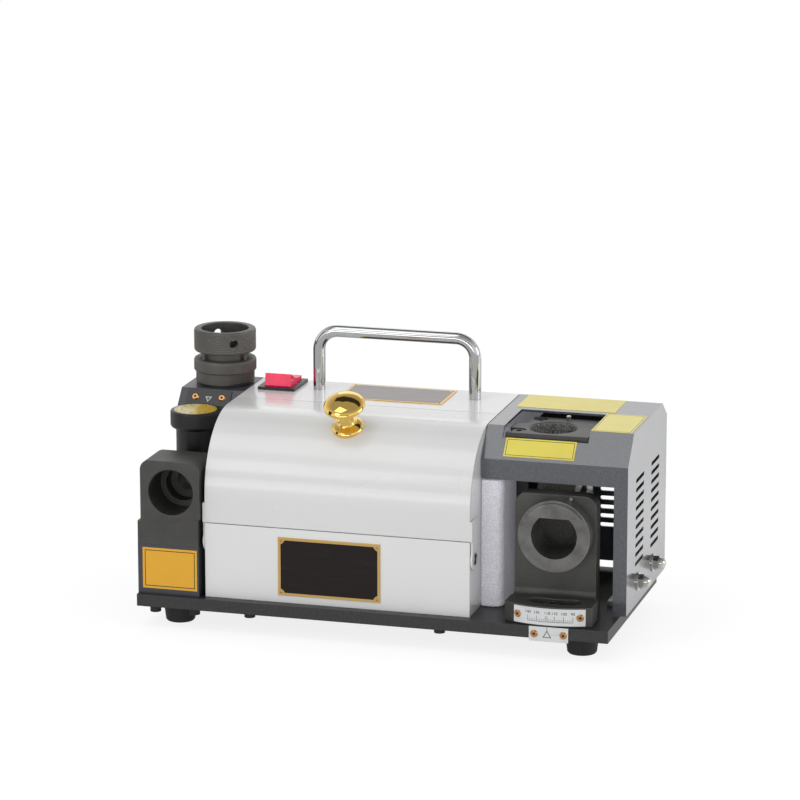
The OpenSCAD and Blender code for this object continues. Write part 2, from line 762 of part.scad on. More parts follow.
module bay_cover() {
    x0 = body_x1 + 0.8;
    h = vent_h / 2;
    color("dimgray") difference() {
        union() {
            along_x(x0, bay_x1) bay_front_sheet();
            along_x(x0, bay_x1) rear_sheet(cut_rear, base_t + 4);
            along_x(bay_x1 - sheet, bay_x1) bay_outline();
            brick([bay_x1 - 9, bay_x1 - eps], [bay_front_y, bay_front_y + sheet], [base_t + 1, band_z + 1]);
        }
        brick([cut_x0, cut_x1], [cut_front, cut_rear], [top_z - 8, top_z + 1]);
        for (i = [0:9]) {
            vent([bay_x1 - 3, bay_x1 + 1], -4, vent_z0 + i * vent_pitch);
            vent([bay_x1 - 3, bay_x1 + 1], 42, vent_z0 + i * vent_pitch);
            for (x = [body_x1 + 29.8, body_x1 + 64.8]) {
                brick([x - 12 + h, x + 12 - h], [rear_y - 3, rear_y + 1],
                      [vent_z0 + i * vent_pitch - h, vent_z0 + i * vent_pitch + h]);
                for (e = [-1, 1])
                    rod_y(h, rear_y - 3, rear_y + 1, x + e * (12 - h), vent_z0 + i * vent_pitch);
            }
        }
        for (y = [-7.5, 38]) rod_x(screw_r + run_gap, bay_x1 - 3, bay_x1 + 1, y, base_t + 15.5);
    }
}

module cover_bracket() {
    x1 = bay_x1 - sheet - 0.05;
    color("silver") difference() {
        union() {
            brick([x1 - 3, x1], [-16, 50], [base_t, base_t + 26]);
            brick([right_x - 13.5, x1 - 3 + eps], [-16, 50], [base_t, base_t + 3]);
        }
        for (y = [-7.5, 38]) rod_x(screw_r + run_gap, x1 - 4, x1 + 1, y, base_t + 15.5);
        for (p = base_screw_at) rod_z(screw_r + run_gap, base_t - eps, base_t + 4, p[0], p[1]);
    }
}

module cover_studs() {
    x1 = bay_x1 - sheet - 3.05;
    color("silver") for (y = [-7.5, 38]) {
        rod_x(screw_r, x1 - eps, nut_tip_x - 4, y, base_t + 15.5);
        translate([x1 - 3.5, y, base_t + 15.5]) rotate([0, 90, 0]) hex(4.7, 3.5);
    }
}

module acorn_nuts() {
    color("silver") for (y = [-7.5, 38])
        translate([bay_x1, y, base_t + 15.5]) rotate([0, 90, 0]) difference() {
            union() {
                cylinder(r = 6, h = 1);
                translate([0, 0, 1]) hex(4.9, 3.6);
                translate([0, 0, 4.6]) cylinder(r = 4, h = 0.8);
                translate([0, 0, 5.4]) rotate_extrude()
                    polygon([[0, 0], [4, 0], [3.8, 1.2], [3.2, 2.3], [2.2, 3.1], [1, 3.5], [0, 3.6]]);
            }
            translate([0, 0, -eps]) cylinder(r = screw_r, h = 5);
        }
}

// ---------------------------------------------------------------- thinning plate

chisel_screw_at = [[chisel_x - 20.3, chisel_y - 10.2], [chisel_x - 13.5, chisel_y + 21.3]];
pin_at = [chisel_x + 5.3, chisel_y + 20.6];

module frame_plate() {
    top = chisel_top - chisel_t;
    color("dimgray") difference() {
        union() {
            along_x(frame_x0, frame_x1)
                polygon([[-12, base_t], [-12, 94], [chisel_front + 1, 98], [chisel_front + 1, top],
                         [62, top], [62, base_t]]);
            brick([frame_x0, frame_x1 + 7], [chisel_front + 1, 17], [top - 6, top]);
            brick([frame_x1 - eps, frame_x1 + 10], [10, 58], [base_t, base_t + 3]);
        }
        rod_x(13, frame_x0 - 1, frame_x1 + 1, axis_y, axis_z);
        rod_z(19, top - 12, top + 1, chisel_x, chisel_y);
        for (p = chisel_screw_at) rod_z(screw_r + run_gap, top - 11, top + 1, p[0], p[1]);
        for (p = base_screw_at) rod_z(screw_r + run_gap, base_t - eps, base_t + 4, p[0], p[1]);
    }
}

module chisel_plate() {
    bottom = chisel_top - chisel_t;
    color("gray") difference() {
        union() {
            translate([0, 0, bottom]) linear_extrude(height = chisel_t)
                polygon([[cut_x0 + 1.5, chisel_front], [cut_x1 - 0.5, chisel_front],
                         [cut_x1 - 0.5, chisel_y + 26.8], [chisel_x - 18.5, chisel_y + 26.8],
                         [chisel_x - 18.5, chisel_y + 9.8], [cut_x0 + 1.5, chisel_y + 4.3]]);
            rod_z(18.5, bottom - 9, bottom + eps, chisel_x, chisel_y);
        }
        rod_z(bore_r, bottom - 10, chisel_top + 1, chisel_x, chisel_y);
        translate([chisel_x, chisel_y, chisel_top - 0.8]) cylinder(r1 = bore_r, r2 = bore_r + 1, h = 0.81);
        for (p = chisel_screw_at) {
            rod_z(2.8, bottom - 1, chisel_top + 1, p[0], p[1]);
            rod_z(4.7, chisel_top - 5.4, chisel_top + 1, p[0], p[1]);
        }
        brick([cut_x0, chisel_screw_at[0][0]], [chisel_screw_at[0][1] - 4.7, chisel_screw_at[0][1] + 4.7],
              [chisel_top - 5.4, chisel_top + 1]);
        rod_z(pin_r + fit_gap, chisel_top - 4, chisel_top + 1, pin_at[0], pin_at[1]);
    }
}

module chisel_pin() {
    color("silver") {
        rod_z(pin_r, chisel_top - 4, chisel_top + 3, pin_at[0], pin_at[1]);
        translate([pin_at[0], pin_at[1], chisel_top + 3]) cylinder(r1 = pin_r, r2 = 1.1, h = 0.6);
    }
}

// screw with a socket head, shank towards -Z from the head's seat
module cap_screw(len) {
    difference() {
        union() {
            translate([0, 0, -len]) cylinder(r = screw_r, h = len + eps);
            cylinder(r = 4.25, h = 4.8);
        }
        translate([0, 0, 2.2]) hex(2.3, 3);
    }
}

module cap_screws() {
    color("dimgray") {
        for (p = chisel_screw_at) translate([p[0], p[1], chisel_top - 5.4]) cap_screw(12);
        for (x = [set_x - 12, set_x + 12]) translate([x, -57, box_top - sheet]) rotate([180, 0, 0]) cap_screw(12);
    }
}

// ---------------------------------------------------------------- point-angle bracket

// places children at an angle round the swivel axis, 0 = straight to the front
module swing(a) {
    translate([swivel_x, swivel_y, 0]) rotate([0, 0, a]) children();
}

// points of an arc in the plane, angle from -Y towards +X
function arc_pts(cx, cy, r, a0, a1, n) =
    [for (i = [0:n]) let (a = a0 + (a1 - a0) * i / n) [cx + r * sin(a), cy - r * cos(a)]];

// curved slot between two angles round the swivel axis
module arc_slot(r, half, a0, a1, z0, z1) {
    x = swivel_x;
    y = swivel_y;
    translate([0, 0, z0]) linear_extrude(height = z1 - z0)
        polygon(concat(arc_pts(x, y, r + half, a0, a1, 16),
                       arc_pts(x + r * sin(a1), y - r * cos(a1), half, a1 + 15, a1 + 165, 10),
                       arc_pts(x, y, r - half, a1, a0, 16),
                       arc_pts(x + r * sin(a0), y - r * cos(a0), half, a0 - 165, a0 - 15, 10)));
}

module point_bracket() {
    z0 = base_t + floor_gap;
    x0 = swivel_x - block_w / 2;
    x1 = x0 + plate_w;
    c = 8;
    color("dimgray") difference() {
        union() {
            intersection() {
                rod_z(scale_r, z0, block_top, swivel_x, swivel_y, $fn = 160);
                brick([swivel_x - 1 - block_w / 2, swivel_x - 1 + block_w / 2],
                      [swivel_y - 84, upright_y0 - 5], [z0, block_top]);
            }
            brick([x0, x1], [upright_y0 - 5 - eps, upright_y0 + eps], [z0, block_top]);
            brick([x0, x1], [upright_y0, upright_y1], [z0, plate_top - c]);
            brick([x0 + c, x1 - c], [upright_y0, upright_y1], [z0, plate_top]);
            for (x = [x0 + c, x1 - c]) rod_y(c, upright_y0, upright_y1, x, plate_top - c);
            difference() {
                brick([x0, x1], [upright_y0 - 4, upright_y0 + eps], [block_top - eps, block_top + 4]);
                rod_x(4, x0 - 1, x1 + 1, upright_y0 - 4, block_top + 4);
            }
            brick([swivel_x - 12, swivel_x + 12], [upright_y1 - eps, swivel_y], [z0, z0 + 7]);
            rod_z(12, z0, z0 + 7, swivel_x, swivel_y);
        }
        rod_z(pivot_r + run_gap, z0 - 1, z0 + 8, swivel_x, swivel_y);
        rod_y(20, upright_y0 - 1, upright_y1 + 1, bore_x, axis_z);
        arc_slot(slot_r, slot_half, -swing_plus - 0.3, swing_minus + 0.3, 14.5, block_top + 1);
        arc_slot(slot_r, clamp_r + 0.35, -swing_plus - 0.3, swing_minus + 0.3, z0 - 1, 15);
    }
}

module bracket_bush() {
    color("silver") difference() {
        union() {
            rod_y(ring_r, ring_y0, upright_y0, bore_x, axis_z, $fn = 96);
            rod_y(20, upright_y0 - eps, upright_y1 + 4, bore_x, axis_z);
            intersection() {
                union() {
                    rod_y(ring_r - 1.2, lip_y0 + 0.8, ring_y0 + eps, bore_x, axis_z, $fn = 96);
                    translate([bore_x, lip_y0 + 0.8, axis_z]) rotate([90, 0, 0])
                        cylinder(r1 = ring_r - 1.2, r2 = ring_r - 2.4, h = 0.8, $fn = 96);
                }
                brick([bore_x - 30, bore_x + 30], [lip_y0 - 1, ring_y0 + 1], [axis_z + lip_half, axis_z + 30]);
            }
        }
        rod_y(bore_r, ring_y0, upright_y1 + 5, bore_x, axis_z);
        brick([bore_x - 30, bore_x + 30], [ring_y0 - 0.6, ring_y0], [axis_z + lip_half - 3, axis_z + lip_half]);
    }
}

module bush_pin() {
    color("silver") rod_y(1.1, upright_y0 - 2.6, upright_y0, bore_x + 9, axis_z + 23);
}

module bracket_pivot() {
    color("silver") {
        rod_z(pivot_r, 2, base_t + floor_gap + 7.2, swivel_x, swivel_y);
        rod_z(7, base_t + floor_gap + 7.1, base_t + floor_gap + 9.6, swivel_x, swivel_y);
    }
}

module bracket_clamp() {
    y = swivel_y - slot_r;
    color("dimgray") difference() {
        union() {
            rod_z(clamp_r, 1, 15, swivel_x, y);
            rod_z(5.4, 14.6, 15.6, swivel_x, y);
            rod_z(4.9, 15.5, 20.4, swivel_x, y);
        }
        translate([swivel_x, y, 17.6]) hex(2.8, 3);
    }
}

module protractor_plate() {
    z = [base_t + 1.2, block_top - 0.8];
    color("white") intersection() {
        difference() {
            rod_z(scale_r + plate_face, z[0], z[1], swivel_x, swivel_y, $fn = 160);
            rod_z(scale_r, z[0] - 1, z[1] + 1, swivel_x, swivel_y, $fn = 160);
        }
        brick([swivel_x - 22.6, swivel_x + 24], [swivel_y - 84, swivel_y - 34], z);
    }
}

module bracket_rivets() {
    color("peru") for (a = [-17.2, 18]) swing(a) translate([0, -scale_r - plate_face, 14.8])
        rotate([90, 0, 0]) eyelet();
}

module pointer_plate() {
    color("white") brick([swivel_x - 11.8, swivel_x + 13.8], [-base_w / 2 - plate_face, -base_w / 2], [-1.6, base_t]);
}

module plate_rivets() {
    slope = atan((top_z - column_slope_z) / (column_top_y - column_y0));
    color("peru") {
        for (x = [swivel_x - 8.4, swivel_x + 10.6]) translate([x, -base_w / 2 - plate_face, 3.2])
            rotate([90, 0, 0]) eyelet();
        for (x = [left_x + 12.2, left_x + 30.7]) translate([x, column_y0, column_slope_z]) rotate([slope, 0, 0])
            translate([0, 7.4, 0.8]) eyelet();
    }
}

// ---------------------------------------------------------------- left housing

module column_outline(t) {
    s = t == 0 ? 0 : 1;
    polygon([[column_y0 + t, base_t - s], [column_y0 + t, column_slope_z - s * 0.62],
             [column_top_y + s * 0.67, top_z - t], [s == 0 ? top_rear_y : in_top_y, top_z - t],
             [rear_y - t, s == 0 ? rear_slope_z : in_slope_z], [rear_y - t, base_t - s]]);
}

module left_housing() {
    color("slategray") difference() {
        union() {
            along_x(column_x0, column_x1) column_outline(0);
            brick([left_x, box_x1], [box_y0, column_y0 + sheet], [base_t, box_top]);
            brick([box_x1 - eps, box_x1 + 1.4], [-50, column_y0 + 1], [base_t, 33]);
        }
        along_x(column_x0 + sheet, column_x1 - sheet) column_outline(sheet);
        brick([left_x + sheet, box_x1 - sheet], [box_y0 + sheet, column_y0 + 2 * sheet],
              [base_t - eps, box_top - sheet]);
        rod_z(17.05, top_z - 4, top_z + 1, chuck_x, chuck_y);
        brick([inlet_x - 13.6, inlet_x + 13.6], [rear_y - 3, rear_y + 1], [inlet_z - 10.1, inlet_z + 10.1]);
        for (x = [set_x - 12, set_x + 12])
            rod_z(screw_r + run_gap, box_top - 3, box_top + 1, x, -57);
        rod_z(4.6, box_top - 3, box_top + 1, dial_x, dial_y);
    }
    color("slategray") difference() {
        union() {
            brick([left_x + sheet, box_x1 - sheet], [box_y0 + sheet, box_y0 + 10], [base_t, base_t + 3]);
            brick([column_x0 + sheet, column_x0 + 26.5], [20, 40], [base_t, base_t + 3]);
        }
        for (p = base_screw_at) rod_z(screw_r + run_gap, base_t - eps, base_t + 4, p[0], p[1]);
    }
}

module set_block_lower() {
    color("dimgray") difference() {
        along_y(set_y0 + 0.3, set_y1)
            polygon([[left_x + 0.2, box_top], [box_x1 - 0.3, box_top], [box_x1 - 0.3, set_split + set_step],
                     [seam_x[1], set_split + set_step], [seam_x[0], set_split], [left_x + 0.2, set_split]]);
        for (x = [set_x - 12, set_x + 12]) rod_z(screw_r + run_gap, box_top - 1, 53, x, -57);
    }
}

module set_block_upper() {
    x0 = left_x + 2.4;
    x1 = box_x1 + 0.9;
    c = 6.5;
    color("dimgray") difference() {
        union() {
            along_y(set_y0, set_y1)
                polygon([[x0, set_split], [seam_x[0], set_split], [seam_x[1], set_split + set_step],
                         [x1, set_split + set_step], [x1, set_top - c], [x0, set_top - c]]);
            brick([x0 + c, x1 - c], [set_y0, set_y1], [set_top - c - eps, set_top]);
            for (x = [x0 + c, x1 - c]) rod_y(c, set_y0, set_y1, x, set_top - c);
            rod_y(nose_r + 3, set_y1 - eps, guide_y0, set_x, set_z);
            rod_y(guide_r, guide_y0 - eps, guide_end, set_x, set_z);
        }
        rod_y(bore_r, set_y0 - 1, set_back, set_x, set_z);
        rod_y(nose_r + 0.6, set_back - eps, guide_y0 - 1.4, set_x, set_z);
        translate([set_x, set_y0 + 0.6, set_z]) rotate([90, 0, 0]) cylinder(r1 = bore_r, r2 = bore_r + 0.7, h = 0.61);
        rod_y(stop_r + run_gap, set_back, guide_end + 1, set_x, set_z);
    }
}

module stop_plunger() {
    nose = 2;
    tip = dial_y - cam_r - 0.15;
    color("silver") {
        rod_y(stop_r, stop_face, tip - nose, set_x, set_z);
        rod_y(stop_nose_r, tip - nose - eps, tip, set_x, set_z);
    }
}

module dial_sleeve() {
    color("black") difference() {
        rod_z(13, box_top, dial_z - 0.2, dial_x, dial_y);
        rod_z(11.4, 66, 90, dial_x, dial_y);
        rod_z(cam_shaft_r + run_gap, box_top + 10, dial_z + 1, dial_x, dial_y);
        rod_y(guide_r + inch_gap, dial_y - 14, dial_y - 6, set_x, set_z);
    }
}

module dial_cam() {
    n = 72;
    a = dial_travel + 15;
    color("silver") difference() {
        union() {
            rod_z(cam_shaft_r, box_top + 14, dial_z + 6, dial_x, dial_y);
            translate([dial_x, dial_y, set_z - 5]) linear_extrude(height = 10)
                polygon([for (i = [0:n]) let (b = -a + 2 * a * i / n, r = cam_r + cam_pitch * b)
                         [r * sin(b), -r * cos(b)]]);
        }
    }
}

module dial_knob() {
    color("black") difference() {
        translate([dial_x, dial_y, dial_z]) rotate_extrude($fn = 96)
            polygon([[0, 0], [dial_r - 2.2, 0], [dial_r - 0.6, 1], [dial_r, 2.2], [dial_r, dial_h - 1.2],
                     [dial_r - 0.4, dial_h - 0.4], [dial_r - 1.2, dial_h], [0, dial_h]]);
        rod_z(cam_shaft_r, dial_z - eps, dial_z + 6, dial_x, dial_y);
        rod_z(14.2, dial_z + dial_h - 0.4, dial_z + dial_h + 1, dial_x, dial_y);
    }
}

module dial_disc() {
    color("gold") rod_z(14.1, dial_z + dial_h - 0.4, dial_z + dial_h + 0.1, dial_x, dial_y);
}

module index_plate() {
    slope = atan((top_z - column_slope_z) / (column_top_y - column_y0));
    color("black") translate([left_x + 6.3, column_y0, column_slope_z]) rotate([slope, 0, 0])
        translate([0, 1, 0]) cube([station_w - 14.6, 12.4, 0.8]);
}

// ---------------------------------------------------------------- chuck

module chuck_socket() {
    color("black") difference() {
        union() {
            rod_z(19, top_z, chuck_z - 0.02, chuck_x, chuck_y);
            rod_z(17, 80, top_z + eps, chuck_x, chuck_y);
        }
        rod_z(bore_r, 83, chuck_z + 1, chuck_x, chuck_y);
        rod_z(6, 79, 84, chuck_x, chuck_y);
    }
}

// chuck frame: axis on Z, flats turned as stored
module chuck_set() {
    translate([chuck_x, chuck_y, 0]) rotate([0, 0, 54.5]) children();
}

module chuck_body() {
    color("dimgray") chuck_set() difference() {
        union() {
            intersection() {
                union() {
                    translate([0, 0, nose_z]) cylinder(r1 = nose_r - 1, r2 = nose_r, h = 1);
                    translate([0, 0, nose_z + 1]) cylinder(r = nose_r, h = nose_l);
                    translate([0, 0, chuck_z - shank_l]) cylinder(r1 = shank_r - 1, r2 = shank_r, h = 1);
                    translate([0, 0, chuck_z - shank_l + 1]) cylinder(r = shank_r, h = shank_l - 1 + eps);
                }
                translate([-20, -flat_half, 80]) cube([40, 2 * flat_half, chuck_z - 80 + 1]);
            }
            difference() {
                translate([0, 0, chuck_z]) cylinder(r = ring3_r, h = ring3_h);
                for (s = [-1, 1]) translate([-20, s < 0 ? -27 : 17, chuck_z - 1]) cube([40, 10, ring3_h + 2]);
            }
            translate([0, 0, ring2_z - eps]) cylinder(r = 15.7, h = ring2_h + neck_h - 0.1);
            translate([0, 0, nut_z - 1]) cylinder(r = 12, h = 9);
        }
        translate([0, 0, 80]) cylinder(r = 9.05, h = 34);
        translate([0, 0, 80]) cylinder(r = 7.2, h = 100);
    }
}

module chuck_collar() {
    e = 1.6;
    color("dimgray") chuck_set() difference() {
        translate([0, 0, ring2_z]) rotate_extrude($fn = 96)
            polygon([[15.7, 0], [nut_r - 0.4, 0], [nut_r + 0.1, 0.6], [nut_r + 0.1, ring2_h - e],
                     [nut_r - 0.3, ring2_h - 0.7], [nut_r - e, ring2_h], [15.7, ring2_h]]);
    }
}

module chuck_pins() {
    color("silver") translate([chuck_x, chuck_y, 0]) for (a = [66.8, -35.2]) rotate([0, 0, a])
        translate([0, -17.6, neck_z]) cylinder(r = 1.2, h = neck_h - 0.3);
}

module chuck_nut() {
    color("dimgray") difference() {
        translate([chuck_x, chuck_y, nut_z]) rotate_extrude($fn = 96)
            polygon([[12.05, 0], [nut_r - 0.5, 0], [nut_r, 0.5], [nut_r, nut_h - 0.8],
                     [nut_r - 0.8, nut_h], [15.9, nut_h], [15.9, 3], [12.05, 3]]);
        for (a = [35, 215]) translate([chuck_x, chuck_y, nut_z + 7.6]) rotate([0, 0, a])
            rotate([90, 0, 0]) cylinder(r = 3, h = 30);
    }
}

module chuck_collet() {
    color("silver") chuck_set() difference() {
        union() {
            translate([0, 0, nose_z - 3]) cylinder(r1 = 7, r2 = 9, h = 3);
            translate([0, 0, nose_z]) cylinder(r = 9, h = 21);
        }
        translate([0, 0, nose_z - 4]) cylinder(r = 3, h = 30);
        for (a = [0, 60, 120]) rotate([0, 0, a]) translate([-10, -0.4, nose_z - 4]) cube([20, 0.8, 18]);
    }
}

// ---------------------------------------------------------------- mains inlet

module mains_inlet() {
    color("black") difference() {
        union() {
            brick([inlet_x - 16, inlet_x + 16], [rear_y, rear_y + bezel_out], [inlet_z - 13, inlet_z + 13]);
            brick([inlet_x - 13.5, inlet_x + 13.5], [rear_y - 24, rear_y + eps], [inlet_z - 10, inlet_z + 10]);
        }
        along_y(rear_y - 16, rear_y + 3)
            polygon([[inlet_x - 12, inlet_z - 8], [inlet_x + 12, inlet_z - 8], [inlet_x + 12, inlet_z + 3],
                     [inlet_x + 7, inlet_z + 8], [inlet_x - 7, inlet_z + 8], [inlet_x - 12, inlet_z + 3]]);
        blades(0.02, rear_y - 25);
    }
}

// the three flat blades of the inlet, grown by g
module blades(g, y0) {
    for (p = [[-7, -2], [0, 2], [7, -2]])
        brick([inlet_x + p[0] - 1 - g, inlet_x + p[0] + 1 + g], [y0, rear_y - 2],
              [inlet_z + p[1] - 2 - g, inlet_z + p[1] + 2 + g]);
}

module inlet_pins() {
    color("silver") blades(0, rear_y - 30);
}

seat() base_plate();
seat() rubber_feet();
seat() base_screws();
seat() body_shell();
seat() hood();
seat() hood_pivot_screws();
seat() hood_knob();
seat() knob_nut();
seat() handle();
seat() handle_nuts();
seat() switch_bezel();
seat() switch_rocker();
seat() name_plates();
seat() labels();
seat() motor_body();
seat() motor_bells();
seat() motor_bearings();
seat() motor_cradle();
seat() motor_shaft();
seat() motor_rotor();
seat() wheel_core();
seat() abrasive_rim();
seat() wheel_nut();
seat() collet_rack();
seat() collets();
seat() foam_seal();
seat() bay_cover();
seat() cover_bracket();
seat() cover_studs();
seat() acorn_nuts();
seat() frame_plate();
seat() chisel_plate();
seat() chisel_pin();
seat() cap_screws();
seat() point_bracket();
seat() bracket_bush();
seat() bush_pin();
seat() bracket_pivot();
seat() bracket_clamp();
seat() protractor_plate();
seat() bracket_rivets();
seat() pointer_plate();
seat() plate_rivets();
seat() left_housing();
seat() set_block_lower();
seat() set_block_upper();
seat() stop_plunger();
seat() dial_sleeve();
seat() dial_cam();
seat() dial_knob();
seat() dial_disc();
seat() index_plate();
seat() chuck_socket();
seat() chuck_body();
seat() chuck_collar();
seat() chuck_pins();
seat() chuck_nut();
seat() chuck_collet();
seat() mains_inlet();
seat() inlet_pins();
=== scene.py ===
import bpy
import math
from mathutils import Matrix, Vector


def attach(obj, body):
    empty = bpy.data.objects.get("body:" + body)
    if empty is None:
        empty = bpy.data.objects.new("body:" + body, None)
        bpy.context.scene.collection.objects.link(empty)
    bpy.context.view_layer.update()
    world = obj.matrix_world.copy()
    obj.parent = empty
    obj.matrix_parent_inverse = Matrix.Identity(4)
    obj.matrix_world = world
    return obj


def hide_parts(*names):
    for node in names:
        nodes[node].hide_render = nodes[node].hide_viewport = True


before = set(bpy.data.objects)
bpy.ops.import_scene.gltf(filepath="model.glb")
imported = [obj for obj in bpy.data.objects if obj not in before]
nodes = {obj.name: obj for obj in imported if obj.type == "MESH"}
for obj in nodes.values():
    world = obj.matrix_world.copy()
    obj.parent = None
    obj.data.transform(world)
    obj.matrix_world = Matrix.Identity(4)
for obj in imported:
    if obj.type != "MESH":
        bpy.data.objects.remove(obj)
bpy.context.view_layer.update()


# in millimetres, from the middle of the base plate's underside
MM = 0.001
BASE_SHIFT = (6.75, 2.2, -14.0)
ROOF_Z = 125.5
DIAL = (-137.5, -8.0)
DIAL_TOP_Z = 118.3
CHUCK = (-133.4, 43.0)
BORE = (117.7, 62.8)
THINNING_BORE = (105.5, -8.8)
SWIVEL = (118.0, -6.0)
SCALE_R = 67.6
SCALE_EYELETS = (-17.2, 18)
POINTER_FACE_Y = -73.6
QUARTER = math.pi / 2
UPRIGHT = (QUARTER, 0, 0)
PRINT = 0.03
SMOOTH_BELOW = math.radians(32)


def at(x, y, z):
    """A place on the machine, in the shared frame's metres."""
    return Vector([(value - shift) * MM for value, shift in zip((x, y, z), BASE_SHIFT)])


def ink(*screen):
    """A screen colour as a linear one."""
    shares = [value / 255 for value in screen]
    return tuple(share / 12.92 if share <= 0.04045 else ((share + 0.055) / 1.055) ** 2.4
                 for share in shares) + (1.0,)


# ---------------------------------------------------------------- camera and light

CAMERA_PLACE = (0.68241, -2.44432, 0.75798)
CAMERA_TURN, CAMERA_RISE = 15.75, 13.57
CAMERA_LENS, CAMERA_SENSOR = 180.14, 36
ROOM_LIGHT = 0.6
MACHINE = (0, 0, 0.08)


def set_camera():
    turn, rise = math.radians(CAMERA_TURN), math.radians(CAMERA_RISE)
    back = Vector((math.sin(turn) * math.cos(rise), -math.cos(turn) * math.cos(rise), math.sin(rise)))
    lens = bpy.data.cameras.new("bench_camera")
    lens.lens, lens.sensor_width, lens.clip_end = CAMERA_LENS, CAMERA_SENSOR, 50
    camera = bpy.data.objects.new("bench_camera", lens)
    camera.location = CAMERA_PLACE
    camera.rotation_euler = (-back).to_track_quat("-Z", "Y").to_euler()
    bpy.context.collection.objects.link(camera)
    bpy.context.scene.camera = camera


def set_lamp(name, place, aim, width, height, power):
    lamp = bpy.data.lights.new(name, "AREA")
    lamp.shape = "RECTANGLE"
    lamp.size, lamp.size_y, lamp.energy = width, height, power
    holder = bpy.data.objects.new(name, lamp)
    holder.location = place
    holder.rotation_euler = (Vector(aim) - Vector(place)).to_track_quat("-Z", "Y").to_euler()
    bpy.context.collection.objects.link(holder)


def set_world():
    """White to the eye, dimmer overhead in reflections, and a softer room that lights the surfaces."""
    world = bpy.data.worlds.new("studio")
    world.use_nodes = True
    bpy.context.scene.world = world
    tree = world.node_tree

    def add(kind, **settings):
        made = tree.nodes.new(kind)
        for key, value in settings.items():
            setattr(made, key, value)
        return made

    room = tree.nodes["Background"]
    room.inputs["Color"].default_value = (1, 1, 1, 1)
    room.inputs["Strength"].default_value = ROOM_LIGHT
    seen = add("ShaderNodeBackground")
    way, height = add("ShaderNodeTexCoord"), add("ShaderNodeSeparateXYZ")
    ceiling = add("ShaderNodeMapRange")
    for name, value in (("From Min", 0.34), ("From Max", 0.8), ("To Min", 1.0), ("To Max", 0.4)):
        ceiling.inputs[name].default_value = value
    path = add("ShaderNodeLightPath")
    eye_or_mirror = add("ShaderNodeMath", operation="MAXIMUM")
    seen_at_all = add("ShaderNodeMath", operation="MAXIMUM")
    mix = add("ShaderNodeMixShader")
    for source, target in (
            (way.outputs["Generated"], height.inputs[0]),
            (height.outputs["Z"], ceiling.inputs[0]),
            (ceiling.outputs[0], seen.inputs["Color"]),
            (path.outputs["Is Camera Ray"], eye_or_mirror.inputs[0]),
            (path.outputs["Is Glossy Ray"], eye_or_mirror.inputs[1]),
            (eye_or_mirror.outputs[0], seen_at_all.inputs[0]),
            (path.outputs["Is Transmission Ray"], seen_at_all.inputs[1]),
            (seen_at_all.outputs[0], mix.inputs[0]),
            (room.outputs[0], mix.inputs[1]),
            (seen.outputs[0], mix.inputs[2]),
            (mix.outputs[0], tree.nodes["World Output"].inputs["Surface"])):
        tree.links.new(source, target)
    bpy.context.scene.view_settings.view_transform = "Standard"


set_camera()
set_world()
set_lamp("key", (-1.3, -2.5, 1.8), MACHINE, 1.1, 0.9, 6)
set_lamp("above", (-0.55, -0.75, 1.95), MACHINE, 0.9, 0.9, 4)
set_lamp("low", (-0.2, -3.0, 0.45), (0, 0, 0.05), 2.6, 0.7, 12.5)
set_lamp("side", (2.9, 0.3, 0.9), MACHINE, 1.6, 1.2, 14)
set_lamp("rear", (-0.4, 2.7, 1.7), MACHINE, 2.0, 1.2, 5)


# ---------------------------------------------------------------- shader words

class Wire:
    """A shader socket that takes part in sums."""

    def __init__(self, finish, socket):
        self.finish, self.socket = finish, socket

    def sum(self, operation, *values):
        return self.finish.node("ShaderNodeMath", {"operation": operation}, *values)

    def __add__(self, other):
        return self.sum("ADD", self, other)

    __radd__ = __add__

    def __sub__(self, other):
        return self.sum("SUBTRACT", self, other)

    def __rsub__(self, other):
        return self.sum("SUBTRACT", other, self)

    def __mul__(self, other):
        return self.sum("MULTIPLY", self, other)

    __rmul__ = __mul__

    def __gt__(self, other):
        return self.sum("GREATER_THAN", self, other)

    def __lt__(self, other):
        return self.sum("LESS_THAN", self, other)

    def of(self, operation, *others):
        return self.sum(operation, self, *others)


